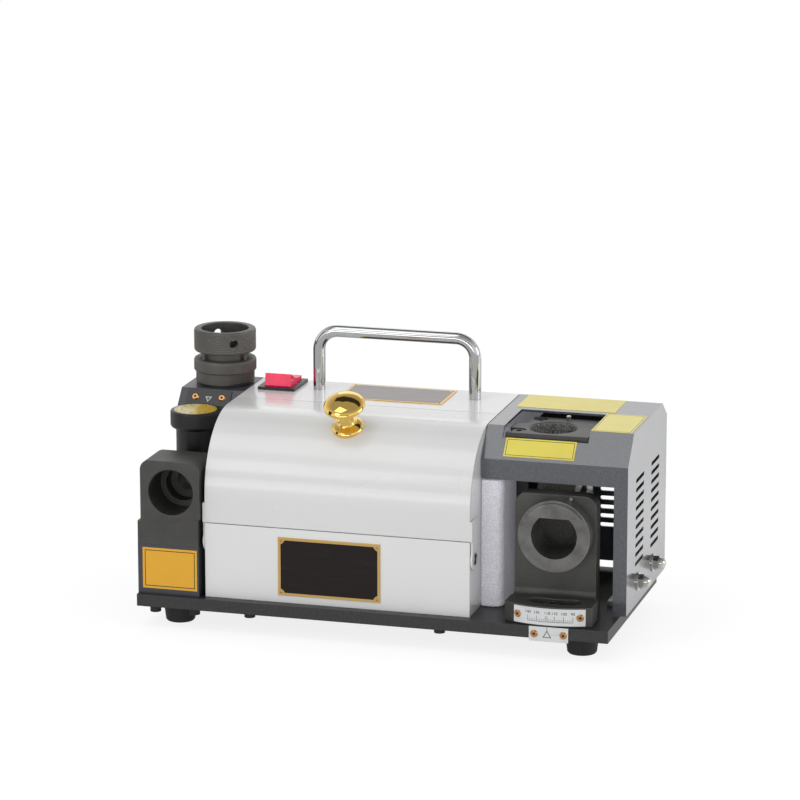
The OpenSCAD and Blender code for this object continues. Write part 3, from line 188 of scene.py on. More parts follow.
class Finish:
    """One material on Object coordinates."""

    def __init__(self, name, **fixed):
        self.material = bpy.data.materials.new(name)
        self.material.use_nodes = True
        self.tree = self.material.node_tree
        self.shader = self.tree.nodes["Principled BSDF"]
        self.place = self.node("ShaderNodeTexCoord", {}, out="Object")
        self.fix(**fixed)

    def fix(self, **fixed):
        """Values that are the same all over the surface."""
        for name, value in fixed.items():
            self.shader.inputs[name.replace("_", " ")].default_value = value

    def vary(self, name, wire):
        """A value that changes over the surface."""
        self.tree.links.new(wire.socket, self.shader.inputs[name])

    def node(self, kind, settings, *values, out=0, **named):
        """One shader node with its settings, its inputs in order or by name, and one output."""
        made = self.tree.nodes.new(kind)
        for key, value in settings.items():
            setattr(made, key, value)
        for key, value in list(enumerate(values)) + list(named.items()):
            socket = made.inputs[key if isinstance(key, int) else key.replace("_", " ")]
            if isinstance(value, Wire):
                self.tree.links.new(value.socket, socket)
            elif value is not None:
                socket.default_value = value
        return Wire(self, made.outputs[out])

    def map(self, centre=(0, 0, 0), stretch=(1, 1, 1)):
        """Places measured from a centre, then stretched."""
        moved = self.node("ShaderNodeVectorMath", {"operation": "SUBTRACT"}, self.place, tuple(centre))
        return self.node("ShaderNodeMapping", {}, moved, Scale=stretch)

    def grain(self, scale, detail=2.0, rough=0.5, where=None):
        """Noise from 0 to 1."""
        return self.node("ShaderNodeTexNoise", {}, out="Fac", Vector=where or self.place,
                         Scale=scale, Detail=detail, Roughness=rough)

    def cells(self, scale):
        """Distance to the nearest of many scattered points."""
        return self.node("ShaderNodeTexVoronoi", {}, out="Distance", Vector=self.place, Scale=scale)

    def part(self, axis, where=None):
        """One of the three measures of a place."""
        return self.node("ShaderNodeSeparateXYZ", {}, where or self.place, out=axis)

    def ramp(self, wire, low, high, bottom=0.0, top=1.0):
        """From bottom to top while the wire goes from low to high."""
        return self.node("ShaderNodeMapRange", {"clamp": True}, wire, low, high, bottom, top)

    def mix(self, share, first, second):
        """One colour over another."""
        made = self.tree.nodes.new("ShaderNodeMix")
        made.data_type = "RGBA"
        for index, value in ((0, share), (6, first), (7, second)):
            if isinstance(value, Wire):
                self.tree.links.new(value.socket, made.inputs[index])
            else:
                made.inputs[index].default_value = value
        return Wire(self, made.outputs[2])

    def round_edges(self, radius):
        return self.node("ShaderNodeBevel", {"samples": 4}, radius)

    def edges(self, radius):
        """1 where two faces meet, 0 on the flat."""
        flat = self.node("ShaderNodeNewGeometry", {}, out="Normal")
        along = self.node("ShaderNodeVectorMath", {"operation": "DOT_PRODUCT"},
                          self.round_edges(radius), flat, out="Value")
        return self.ramp((1 - along) * 6.0, 0.05, 1.0)

    def bump(self, height, depth, base=None):
        """Relief in metres, over rounded edges where they are given."""
        named = {"Normal": base} if base else {}
        self.vary("Normal", self.node("ShaderNodeBump", {}, 1.0, depth, Height=height, **named))

    def on(self, *names):
        """The finish on nodes of the part."""
        for name in names:
            for slot in nodes[name].material_slots:
                slot.material = self.material
        return self


def shade(colour, share):
    """A lighter or darker tone of a colour."""
    return tuple(min(1.0, value * share) for value in colour[:3]) + (1.0,)


# ---------------------------------------------------------------- finishes

def stove_enamel(name, colour, roughness=0.22, peel=0.00003, radius=0.0006, low_darkening=0.2):
    """Smooth sprayed paint: faint orange peel, soft cloudiness, and patchy darkening low down."""
    paint = Finish(name, Coat_Roughness=0.08, Coat_IOR=1.5, IOR=1.5)
    cloud = paint.grain(9, 3)
    dust = paint.grain(900, 1)
    # darker in patches from 2 to 6 cm above the floor, fading out higher up
    low = paint.ramp(paint.part("Z"), 0.02, 0.06, 1.0, 0.0) * paint.ramp(paint.grain(60, 4), 0.45, 0.7)
    share = paint.ramp(cloud, 0.3, 0.7, 0.0, 0.5) + low * low_darkening + paint.ramp(dust, 0.72, 0.8) * 0.3
    paint.vary("Base Color", paint.mix(share, colour, shade(colour, 0.93)))
    paint.vary("Roughness", roughness + paint.grain(40, 3) * 0.08)
    paint.vary("Coat Weight", 0.35 + cloud * 0.2)
    paint.bump(paint.grain(420, 1), peel, paint.round_edges(radius))
    return paint


def speckled_enamel(name, colour, light, roughness, depth=0.00012, scale=1500, radius=0.0007, gloss=0.1):
    """Dark textured paint: fine grains in two greys, worn a little along its edges."""
    paint = Finish(name, IOR=1.55, Coat_Roughness=0.12, Coat_IOR=1.8)
    fine = paint.grain(scale, 2, 0.6)
    broad = paint.grain(14, 3)
    specks = paint.ramp(fine, 0.5, 0.68)
    tone = paint.mix(specks, colour, light)
    tone = paint.mix(paint.ramp(broad, 0.35, 0.75, 0.0, 0.25), tone, shade(colour, 0.6))
    tone = paint.mix(paint.edges(radius) * 0.35, tone, shade(light, 1.5))
    paint.vary("Base Color", tone)
    paint.vary("Roughness", roughness + fine * 0.22 - 0.08)
    paint.vary("Coat Weight", gloss + broad * 0.15)
    paint.bump(fine + paint.grain(scale / 3, 1) * 0.6, depth, paint.round_edges(radius))
    return paint


def oxide(name, colour, metal=0.55, roughness=0.46, radius=0.0006, lines=(1, 1, 14), wear=0.3):
    """Machined steel with a black oxide skin: cutter lines, cloudy tone, brighter edges."""
    skin = Finish(name, IOR=1.6)
    cloud = skin.grain(38, 4, 0.6)
    fine = skin.grain(1300, 2)
    cut = skin.grain(260, 2, 0.5, skin.map(stretch=lines))
    tone = skin.mix(skin.ramp(cloud, 0.3, 0.75), shade(colour, 0.78), shade(colour, 1.28))
    tone = skin.mix(skin.ramp(fine, 0.55, 0.75, 0.0, 0.35), tone, shade(colour, 1.7))
    tone = skin.mix(skin.edges(radius) * wear, tone, (0.42, 0.41, 0.38, 1))
    skin.vary("Base Color", tone)
    skin.vary("Metallic", metal + cloud * 0.2)
    skin.vary("Roughness", roughness + fine * 0.16 - cloud * 0.1)
    skin.bump(cut * 0.5 + fine * 0.5, 0.00005, skin.round_edges(radius))
    return skin


def ground_steel(name, colour=(0.5, 0.5, 0.485, 1), roughness=0.3, lines=(1, 12, 12), radius=0.0003):
    """Bare ground steel: fine straight scratches and faint stains."""
    bare = Finish(name, Metallic=1.0)
    scratch = bare.grain(500, 3, 0.6, bare.map(stretch=lines))
    stain = bare.grain(45, 4)
    bare.vary("Base Color", bare.mix(bare.ramp(stain, 0.4, 0.75), colour, shade(colour, 0.72)))
    bare.vary("Roughness", roughness + scratch * 0.18 - 0.09)
    bare.bump(scratch, 0.00002, bare.round_edges(radius))
    return bare


def plated(name, colour, roughness, radius=0.0002):
    """Bright plating: nearly a mirror, with smears and a few pits."""
    bright = Finish(name, Metallic=1.0)
    smear = bright.grain(60, 4, 0.6)
    pits = bright.ramp(bright.cells(900), 0.0, 0.1, 1.0, 0.0)
    bright.vary("Base Color", bright.mix(smear * 0.25, colour, shade(colour, 0.86)))
    bright.vary("Roughness", roughness + bright.ramp(smear, 0.45, 0.8, 0.0, 0.09) + pits * 0.1)
    bright.bump(smear, 0.000015, bright.round_edges(radius))
    return bright


def moulding(name, colour, roughness=0.38, scale=1400, depth=0.00004, coat=0.0, radius=0.0003):
    """Moulded plastic with a fine grain."""
    skin = Finish(name, IOR=1.48, Coat_Roughness=0.1)
    fine = skin.grain(scale, 2)
    broad = skin.grain(55, 3)
    skin.vary("Base Color", skin.mix(skin.ramp(broad, 0.35, 0.75), colour, shade(colour, 1.35)))
    skin.vary("Roughness", roughness + fine * 0.14 - 0.05)
    skin.vary("Coat Weight", coat + broad * 0.1)
    skin.bump(fine, depth, skin.round_edges(radius))
    return skin


# Body and hood wear one white paint; the body's copy is painted lighter, painted light that lifts its dimmer
# lower front.
stove_enamel("body_enamel_painted_lighter", ink(241, 242, 241)).on("body_shell")
stove_enamel("hood_enamel", ink(234, 235, 234)).on("hood")
speckled_enamel("bay_enamel", (0.036, 0.041, 0.056, 1), (0.096, 0.104, 0.13, 1), 0.38,
                depth=0.0001, scale=1700, gloss=0.95).on("bay_cover")
speckled_enamel("base_enamel", (0.014, 0.014, 0.016, 1), (0.032, 0.032, 0.034, 1), 0.5,
                depth=0.00006, scale=900).on("base_plate")
speckled_enamel("column_enamel", (0.034, 0.039, 0.052, 1), (0.058, 0.065, 0.08, 1), 0.4,
                depth=0.00005, scale=1100).on("left_housing")
moulding("foot_rubber", (0.012, 0.012, 0.012, 1), 0.62, 700, 0.00008).on("rubber_feet")
zinc = ground_steel("zinc_plate", (0.6, 0.6, 0.58, 1), 0.34, (6, 6, 6))
zinc.on("cover_bracket", "cover_studs", "knob_nut", "handle_nuts", "wheel_nut")
ground_steel("galvanised_sheet", (0.55, 0.56, 0.57, 1), 0.4, (2, 9, 2)).on("collet_rack")
nickel = plated("nickel", (0.55, 0.54, 0.51, 1), 0.14)
nickel.on("hood_pivot_screws", "acorn_nuts", "chisel_pin", "inlet_pins")
chrome = plated("chrome", (0.56, 0.57, 0.58, 1), 0.04)
gold_brass = plated("polished_brass", (0.9, 0.6, 0.17, 1), 0.05)
black_moulding = moulding("black_moulding", (0.009, 0.009, 0.01, 1), 0.34)
black_moulding.on("switch_bezel", "mains_inlet", "dial_knob", "dial_sleeve", "chuck_socket")
red_rocker_painted_glow = moulding("red_rocker_painted_glow", ink(206, 4, 60), 0.26, 600, 0.00001, 0.15)
# The rocker's emission is painted light: it glows with no lamp inside it, which brightens its red.
red_rocker_painted_glow.fix(Emission_Color=ink(240, 16, 90), Emission_Strength=0.34, Subsurface_Weight=0.1)
red_rocker_painted_glow.on("switch_rocker")
speckled_enamel("motor_enamel", (0.05, 0.06, 0.07, 1), (0.08, 0.09, 0.1, 1), 0.4).on("motor_body")
oxide("cast_metal", (0.3, 0.3, 0.29, 1), 0.8, 0.5, lines=(3, 3, 3)).on("motor_bells", "motor_cradle")
bright_steel = ground_steel("bright_steel")
bright_steel.on("motor_bearings", "motor_shaft", "wheel_core", "collets", "stop_plunger",
                "dial_cam", "bush_pin", "bracket_pivot", "chuck_collet")
block_oxide = oxide("block_oxide", (0.08, 0.079, 0.073, 1))
block_oxide.on("point_bracket", "set_block_lower", "set_block_upper")
screw_oxide = oxide("screw_oxide", (0.03, 0.03, 0.03, 1), 0.6, 0.35)
screw_oxide.on("cap_screws", "bracket_clamp", "base_screws", "frame_plate")
chuck_oxide = oxide("chuck_oxide", (0.12, 0.117, 0.107, 1), 0.5, 0.48, lines=(1, 1, 3), wear=0.3)
chuck_oxide.on("chuck_body", "chuck_collar", "chuck_pins")
knurl_oxide = oxide("knurl_oxide", (0.115, 0.112, 0.103, 1), 0.5, 0.4,
                    lines=(1, 1, 3), wear=0.6, radius=0.00015)


def turned_steel():
    """The bush's face: rings left by the lathe, patches of grinding, and a painted highlight along its rim.
    """
    bare = Finish("turned_steel", Metallic=0.9)
    local = bare.map(at(BORE[0], 0, BORE[1]))
    across, up = bare.part("X", local), bare.part("Z", local)
    radius = (across * across + up * up).of("SQRT")
    ring = bare.node("ShaderNodeTexNoise", {"noise_dimensions": "1D"}, out="Fac",
                     W=radius, Scale=2600.0, Detail=2.0)
    patch = bare.grain(70, 4, 0.65)
    tone = bare.mix(bare.ramp(patch, 0.35, 0.7), (0.22, 0.217, 0.21, 1), (0.13, 0.128, 0.124, 1))
    # painted highlight: every edge of the bush lightened towards bright steel
    tone = bare.mix(bare.edges(0.0005) * 0.5, tone, (0.7, 0.69, 0.66, 1))
    bare.vary("Base Color", tone)
    bare.vary("Roughness", 0.36 + patch * 0.15 + ring * 0.08)
    bare.bump(ring + bare.grain(900, 2) * 0.5, 0.00003, bare.round_edges(0.0005))
    return bare


turned_steel().on("bracket_bush")


def hardened_plate():
    """Thinning plate: dark milled top and a bore pitted by the torch and the grit."""
    plate = Finish("hardened_plate", IOR=1.6)
    local = plate.map(at(*THINNING_BORE, 0))
    across, along = plate.part("X", local), plate.part("Y", local)
    radius = (across * across + along * along).of("SQRT")
    bore = plate.ramp(radius, 0.0152, 0.0158, 1.0, 0.0)
    pits = plate.cells(620)
    crust = plate.grain(760, 4, 0.7)
    cloud = plate.grain(40, 4)
    top = plate.mix(plate.ramp(cloud, 0.3, 0.7), (0.05, 0.049, 0.046, 1), (0.085, 0.083, 0.077, 1))
    rough = plate.mix(plate.ramp(crust, 0.4, 0.62), (0.11, 0.11, 0.105, 1), (0.36, 0.36, 0.34, 1))
    plate.vary("Base Color", plate.mix(bore, top, rough))
    plate.vary("Metallic", 0.5 + bore * 0.2)
    plate.vary("Roughness", 0.45 + bore * 0.2)
    plate.bump((pits + crust) * (0.2 + bore), 0.00016, plate.round_edges(0.0005))
    return plate


hardened_plate().on("chisel_plate")


def grit():
    """Plated abrasive: dense sharp grains in a dull bond."""
    coat = Finish("plated_grit")
    grains = coat.cells(2600)
    tone = coat.mix(coat.ramp(grains, 0.1, 0.5), (0.4, 0.38, 0.33, 1), (0.1, 0.1, 0.09, 1))
    coat.vary("Base Color", tone)
    coat.vary("Roughness", 0.6 + grains * 0.3)
    coat.bump(grains, 0.0002)
    return coat


grit().on("abrasive_rim")


def laminated_core():
    """Rotor: thin sheets stacked along the spindle."""
    core = Finish("laminated_core", Metallic=0.8)
    sheets = core.node("ShaderNodeTexWave", {"bands_direction": "X"}, out="Fac", Vector=core.place,
                       Scale=320.0, Distortion=0.2)
    core.vary("Base Color", core.mix(sheets, (0.16, 0.12, 0.09, 1), (0.32, 0.27, 0.22, 1)))
    core.vary("Roughness", 0.45 + core.grain(80) * 0.2)
    core.bump(sheets, 0.00006)
    return core


laminated_core().on("motor_rotor")


def vinyl_film():
    """Label film: orange on the setting box, yellow elsewhere, with faint creases."""
    film = Finish("label_film", IOR=1.46, Coat_Roughness=0.12)
    left = film.part("X") < at(-100, 0, 0).x
    tone = film.mix(left, ink(238, 222, 78), ink(244, 178, 36))
    tone = film.mix(film.ramp(film.grain(30, 4), 0.4, 0.8, 0.0, 0.35), tone, ink(214, 190, 70))
    film.vary("Base Color", tone)
    film.vary("Roughness", 0.3 + film.grain(120, 3) * 0.15)
    film.vary("Coat Weight", 0.25 + film.grain(25) * 0.2)
    film.bump(film.grain(90, 2), 0.00004)
    return film


vinyl_film().on("labels")


def printed_plate(name, colour, marks, roughness=0.32, coat=0.3):
    """Anodised sheet with a printed face and a few scuffs."""
    plate = Finish(name, IOR=1.5, Coat_Roughness=0.15)
    scuff = plate.grain(140, 4, 0.6, plate.map(stretch=(0.4, 1, 3)))
    plate.vary("Base Color", plate.mix(plate.ramp(scuff, 0.55, 0.85, 0.0, 0.5), colour, marks))
    plate.vary("Roughness", roughness + scuff * 0.15)
    plate.vary("Coat Weight", coat + scuff * 0.1)
    plate.bump(scuff, 0.00001, plate.round_edges(0.0002))
    return plate


white_print = printed_plate("white_print", ink(228, 229, 230), ink(190, 190, 192))
white_print.on("protractor_plate", "pointer_plate")
printed_plate("black_print", (0.012, 0.012, 0.013, 1), (0.06, 0.06, 0.065, 1)).on("index_plate")
plated("brass_sheet", (0.72, 0.47, 0.17, 1), 0.3).on("name_plates")
copper = plated("copper_eyelet", (0.62, 0.33, 0.13, 1), 0.26).on("bracket_rivets", "plate_rivets")
# The two plate fields are one enamel in two tones: the front copy is painted darker as shade, the top copy
# painted lighter as light.
front_field_enamel_shaded = printed_plate("front_plate_enamel_painted_shade", (0.012, 0.006, 0.006, 1), (0.03, 0.02, 0.02, 1),
                             0.24, coat=0.02)
front_field_enamel_shaded.fix(Specular_IOR_Level=0.25)
top_field_enamel_lit = printed_plate("top_plate_enamel_painted_light", (0.1, 0.062, 0.062, 1), (0.13, 0.09, 0.09, 1),
                           0.24, coat=0.4)
# Black for printed lines and marks, and also for the painted shade on the eyelets.
black_ink_and_painted_shade = printed_plate("black_ink_and_painted_shade", (0.015, 0.015, 0.015, 1), (0.04, 0.04, 0.04, 1), 0.5)
white_ink = printed_plate("white_ink", (0.8, 0.8, 0.8, 1), (0.6, 0.6, 0.6, 1), 0.5)


def dial_print():
    """Dial disc: pale on one half, deeper yellow on the other."""
    disc = Finish("dial_print", IOR=1.46, Coat_Roughness=0.1)
    right = disc.part("X") > at(DIAL[0], 0, 0).x
    tone = disc.mix(right, ink(228, 212, 140), ink(224, 186, 52))
    tone = disc.mix(disc.ramp(disc.grain(160, 4), 0.5, 0.8, 0.0, 0.3), tone, ink(190, 165, 80))
    disc.vary("Base Color", tone)
    disc.vary("Roughness", 0.3 + disc.grain(200) * 0.15)
    disc.vary("Coat Weight", 0.3 + disc.grain(60) * 0.1)
    return disc


dial_print().on("dial_disc")


def open_foam():
    """Pale open-cell foam: bright skin broken by small dark cells, with a faint painted glow that lightens
    it in the cover's shade.
    """
    # The emission is painted light: the foam glows although it is no lamp.
    foam = Finish("open_foam", Sheen_Weight=0.25, Emission_Strength=0.11,
                  Emission_Color=(0.93, 0.92, 1.0, 1))
    pores = foam.cells(1150)
    soft = foam.grain(380, 3)
    tone = foam.mix(foam.ramp(pores, 0.25, 0.6), ink(250, 248, 255), ink(226, 223, 232))
    tone = foam.mix(foam.ramp(soft, 0.55, 0.8, 0.0, 0.5), tone, ink(200, 197, 207))
    foam.vary("Base Color", tone)
    foam.vary("Roughness", 0.85 + pores * 0.1)
    foam.bump(pores + soft, 0.0004)
    return foam


foam_finish = open_foam()


# ---------------------------------------------------------------- bench work

def clear():
    """Nothing selected, and out of edit mode."""
    if bpy.context.object and bpy.context.object.mode != "OBJECT":
        bpy.ops.object.mode_set(mode="OBJECT")
    bpy.ops.object.select_all(action="DESELECT")


def settle(name, body, finish, *replaced, slot=None):
    """The active piece gets its name, its place in its mesh, its finish and its body."""
    if bpy.context.object.mode != "OBJECT":
        bpy.ops.object.mode_set(mode="OBJECT")
    piece = bpy.context.object
    piece.name = piece.data.name = name
    bpy.ops.object.transform_apply(location=True, rotation=True, scale=True)
    piece.data.materials.clear()
    for one in finish if isinstance(finish, tuple) else (finish,):
        piece.data.materials.append(one.material)
    if replaced:
        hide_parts(*replaced)
    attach(piece, body)
    return piece


def join(pieces):
    """Several pieces as one, which is then the active one."""
    clear()
    for piece in pieces:
        piece.select_set(True)
    bpy.context.view_layer.objects.active = pieces[0]
    bpy.ops.object.join()
    return bpy.context.object


def apply_all(piece):
    """Every modifier of the active piece made final."""
    for modifier in list(piece.modifiers):
        bpy.ops.object.modifier_apply(modifier=modifier.name)


def pad(width, height, place, turn=(0, 0, 0)):
    """A thin sheet, width along X and height along Y before it is turned."""
    clear()
    bpy.ops.mesh.primitive_plane_add(size=1, location=place, rotation=turn)
    bpy.context.object.scale = (width * MM, height * MM, 1)
    bpy.ops.object.transform_apply(location=False, rotation=False, scale=True)
    return bpy.context.object


def thicken(depth=PRINT):
    """The active sheet gets a depth along its own normal."""
    bpy.ops.object.mode_set(mode="EDIT")
    bpy.ops.mesh.select_all(action="SELECT")
    bpy.ops.mesh.extrude_region_move(
        TRANSFORM_OT_translate={"value": (0, 0, depth * MM), "orient_type": "LOCAL"})
    bpy.ops.mesh.select_all(action="SELECT")
    bpy.ops.mesh.normals_make_consistent(inside=False)
    bpy.ops.object.mode_set(mode="OBJECT")


def hollow(line):
    """Only the rim of the active sheet is left, as wide as the line."""
    bpy.ops.object.mode_set(mode="EDIT")
    bpy.ops.mesh.select_all(action="SELECT")
    bpy.ops.mesh.inset(thickness=line * MM)
    bpy.ops.mesh.delete(type="FACE")
    bpy.ops.object.mode_set(mode="OBJECT")
    thicken()


def line_frame(width, height, line, place, turn=(0, 0, 0)):
    """A printed line round a label."""
    piece = pad(width, height, place, turn)
    hollow(line)
    return piece


def numeral(text, size, place, turn):
    """A printed number, its height in millimetres."""
    clear()
    bpy.ops.object.text_add(location=place, rotation=turn)
    words = bpy.context.object
    words.data.body = text
    words.data.size = size * MM
    words.data.align_x = words.data.align_y = "CENTER"
    words.data.extrude = PRINT * MM
    words.data.resolution_u = 3
    bpy.ops.object.convert(target="MESH")
    return bpy.context.object


def around(centre, degrees, radius):
    """X and Y at an angle from the front of a centre, in millimetres."""
    angle = math.radians(degrees)
    return centre[0] + radius * math.sin(angle), centre[1] - radius * math.cos(angle)


def up_slope(foot, slope, run, off):
    """Y and Z of a place up a slope from its foot and off its face, in millimetres."""
    return (foot[0] + run * math.cos(slope) - off * math.sin(slope),
            foot[1] + run * math.sin(slope) + off * math.cos(slope))


def lathe(profile, place, steps, turn=(0, 0, 0)):
    """A closed profile of (radius, height) in millimetres, spun round Z."""
    clear()
    bpy.ops.mesh.primitive_circle_add(vertices=len(profile), radius=MM, fill_type="NOTHING",
                                      location=(0, 0, 0))
    piece = bpy.context.object
    for point, (radius, height) in zip(piece.data.vertices, profile):
        point.co = (radius * MM, 0, height * MM)
    bpy.ops.object.mode_set(mode="EDIT")
    bpy.ops.mesh.select_mode(type="EDGE")
    bpy.ops.mesh.select_all(action="SELECT")
    bpy.ops.mesh.spin(steps=steps, angle=2 * math.pi, center=(0, 0, 0), axis=(0, 0, 1))
    bpy.ops.mesh.select_all(action="SELECT")
    bpy.ops.mesh.remove_doubles(threshold=0.000005)
    bpy.ops.mesh.delete_loose()
    bpy.ops.mesh.select_all(action="SELECT")
    bpy.ops.mesh.normals_make_consistent(inside=False)
    bpy.ops.object.mode_set(mode="OBJECT")
    piece.location, piece.rotation_euler = place, turn
    bpy.ops.object.transform_apply(location=True, rotation=True, scale=True)
    bpy.ops.object.shade_smooth_by_angle(angle=SMOOTH_BELOW)
    return piece


# ---------------------------------------------------------------- plates and labels

PLATE_RIM, PLATE_CORNER = 1.8, 2.6
PIN_INSET, PIN_RADIUS = 2.1, 0.85


def plate_field(name, finish, width, height, place, turn):
    """Dark field with hollow corners inside the brass rim."""
    pad(width - 2 * PLATE_RIM, height - 2 * PLATE_RIM, place, turn)
    bpy.ops.object.mode_set(mode="EDIT")
    bpy.ops.mesh.select_all(action="SELECT")
    bpy.ops.mesh.bevel(offset=PLATE_CORNER * MM, segments=8, profile=0.12, affect="VERTICES")
    bpy.ops.object.mode_set(mode="OBJECT")
    thicken(0.06)
    settle(name, "frame", finish)


def corner_pins(name, width, height, centre, right, up):
    """A small domed pin in each corner of a name plate."""
    pins = []
    reach_x, reach_y = (width / 2 - PIN_INSET) * MM, (height / 2 - PIN_INSET) * MM
    turn = right.cross(up).to_track_quat("Z", "Y").to_euler()
    for side in (-reach_x, reach_x):
        for end in (-reach_y, reach_y):
            clear()
            bpy.ops.mesh.primitive_uv_sphere_add(segments=16, ring_count=8, radius=PIN_RADIUS * MM,
                                                 location=centre + right * side + up * end, rotation=turn)
            bpy.context.object.scale = (1, 1, 0.35)
            bpy.ops.object.transform_apply(location=True, rotation=True, scale=True)
            pins.append(bpy.context.object)
    join(pins)
    bpy.ops.object.shade_smooth()
    settle(name, "frame", copper)


X, Y, Z = Vector((1, 0, 0)), Vector((0, 1, 0)), Vector((0, 0, 1))
FRONT_SIZE, FRONT_X, FRONT_Y, FRONT_Z = (68.7, 38.8), -28.45, -66.6, 32.4
TOP_SIZE, TOP_X, TOP_Y, TOP_Z = (71.4, 39.4), -12, 37.6, 126.1
PIN_LIFT = 0.02
plate_field("front_plate_field", front_field_enamel_shaded, *FRONT_SIZE, at(FRONT_X, FRONT_Y, FRONT_Z), UPRIGHT)
corner_pins("front_plate_pins", *FRONT_SIZE, at(FRONT_X, FRONT_Y - PIN_LIFT, FRONT_Z), X, Z)
plate_field("top_plate_field", top_field_enamel_lit, *TOP_SIZE, at(TOP_X, TOP_Y, TOP_Z), (0, 0, 0))
corner_pins("top_plate_pins", *TOP_SIZE, at(TOP_X, TOP_Y, TOP_Z + PIN_LIFT), X, Y)

LABEL_LIFT = 0.2
BAY_EDGE = (-24, ROOF_Z)
BAY_SLOPE = math.atan((ROOF_Z - 107) / 16.5)
slope_label = at(103, *up_slope(BAY_EDGE, BAY_SLOPE, -15.6, LABEL_LIFT))
join([
    line_frame(44.4, 11.6, 0.35, slope_label, (BAY_SLOPE, 0, 0)),
    line_frame(24.6, 44.2, 0.3, at(147.05, 0, ROOF_Z + LABEL_LIFT)),
    line_frame(34.2, 24.4, 0.5, at(-135.6, -69.7, 25.5), UPRIGHT),
])
settle("label_lines", "frame", black_ink_and_painted_shade)


# ---------------------------------------------------------------- point-angle scale

def on_scale(degrees, z, out=0.0):
    """A place on the curved scale and the turn that faces it."""
    return at(*around(SWIVEL, degrees, SCALE_R + out), z), (QUARTER, 0, math.radians(degrees))


def scale_mark(width, height, degrees, z, out=0.0, depth=PRINT):
    """One printed stroke on the curved scale."""
    piece = pad(width, height, *on_scale(degrees, z, out))
    thicken(depth)
    return piece


def scale_marks():
    """Ticks for point angles from 90 to 140 over a base line, and their numbers."""
    low, short, long, middle = 11.6, 13.4, 15.2, 118
    marks = []
    for value in range(90, 141, 2):
        tall = value % 10 == 0 or value == middle
        high = long if tall else short
        marks.append(scale_mark(0.26 if tall else 0.16, high - low, (middle - value) / 2,
                                (low + high) / 2, 0.01))
    for step in range(-11, 14):
        marks.append(scale_mark(1.19, 0.22, step + 0.5, 11.5, depth=0.04))
    for value in (90, 100, 110, middle, 130, 140):
        marks.append(numeral(str(value), 2.7, *on_scale((middle - value) / 2, 17.2, 0.02)))
    join(marks)
    settle("scale_marks", "bracket", black_ink_and_painted_shade)


scale_marks()


def triangle(size, place, turn):
    """A flat three-cornered sheet."""
    clear()
    bpy.ops.mesh.primitive_circle_add(vertices=3, radius=size * MM, fill_type="NGON",
                                      location=place, rotation=turn)
    return bpy.context.object


def pointer_mark():
    """A line that runs down into a hollow triangle."""
    x, y = SWIVEL[0], POINTER_FACE_Y - 0.02
    head = triangle(3.2, at(x, y, 2.6), UPRIGHT)
    hollow(0.4)
    line = pad(0.3, 2.4, at(x, y, 6.8), UPRIGHT)
    thicken()
    join([head, line])
    settle("pointer_mark", "frame", black_ink_and_painted_shade)


pointer_mark()

INDEX_FOOT = (10.5, 115)
INDEX_SLOPE = math.atan(10.5 / 9.5)


def on_index(x, run, off):
    """A place on the sloping index plate."""
    return at(x, *up_slope(INDEX_FOOT, INDEX_SLOPE, run, off))


def index_mark():
    """A hollow triangle that points down at the dial."""
    place = on_index(-136, 6.6, 0.82)
    triangle(2.6, place, (INDEX_SLOPE, 0, 0))
    bpy.ops.object.mode_set(mode="EDIT")
    bpy.ops.mesh.select_all(action="SELECT")
    bpy.ops.transform.rotate(value=math.pi, orient_axis="Z", orient_type="LOCAL", center_override=place)
    hollow(0.5)
    settle("index_mark", "frame", white_ink)


index_mark()


def eyelet_core(place, turn):
    """A black disc on one eyelet: painted shade that stands for its dark hollow."""
    clear()
    bpy.ops.mesh.primitive_circle_add(vertices=20, radius=1.15 * MM, fill_type="NGON",
                                      location=place, rotation=turn)
    thicken(0.02)
    return bpy.context.object


# Black discs on the eyelets are painted shade standing for their hollows.
join([eyelet_core(at(x, POINTER_FACE_Y - 0.32, 3.2), UPRIGHT) for x in (109.6, 128.6)]
     + [eyelet_core(on_index(x, 7.4, 1.12), (INDEX_SLOPE, 0, 0)) for x in (-145.3, -126.8)])
settle("painted_shade_on_eyelets", "frame", black_ink_and_painted_shade)
join([eyelet_core(*on_scale(degrees, 14.8, 0.32)) for degrees in SCALE_EYELETS])
settle("painted_shade_on_scale_eyelets", "bracket", black_ink_and_painted_shade)


# ---------------------------------------------------------------- dial

def on_dial(degrees, radius, lift=0.0):
    """A place on the dial and the turn that keeps its foot to the middle."""
    return at(*around(DIAL, degrees, radius), DIAL_TOP_Z + lift), (0, 0, math.radians(degrees))


def dial_marks():
    """Ticks every ten degrees over the dial's travel, and a size every thirty."""
    marks = []
    for degrees in range(-150, 151, 10):
        long = degrees % 30 == 0
        marks.append(pad(0.3, 2.2 if long else 1.3, *on_dial(degrees, 12.6 if long else 13.0)))
        thicken()
    for size, degrees in zip(range(13, 2, -1), range(-150, 151, 30)):
        marks.append(numeral(str(size), 2.6, *on_dial(degrees, 9.6, 0.01)))
    join(marks)
    settle("dial_marks", "dial", black_ink_and_painted_shade)


dial_marks()


# ---------------------------------------------------------------- knurled nut

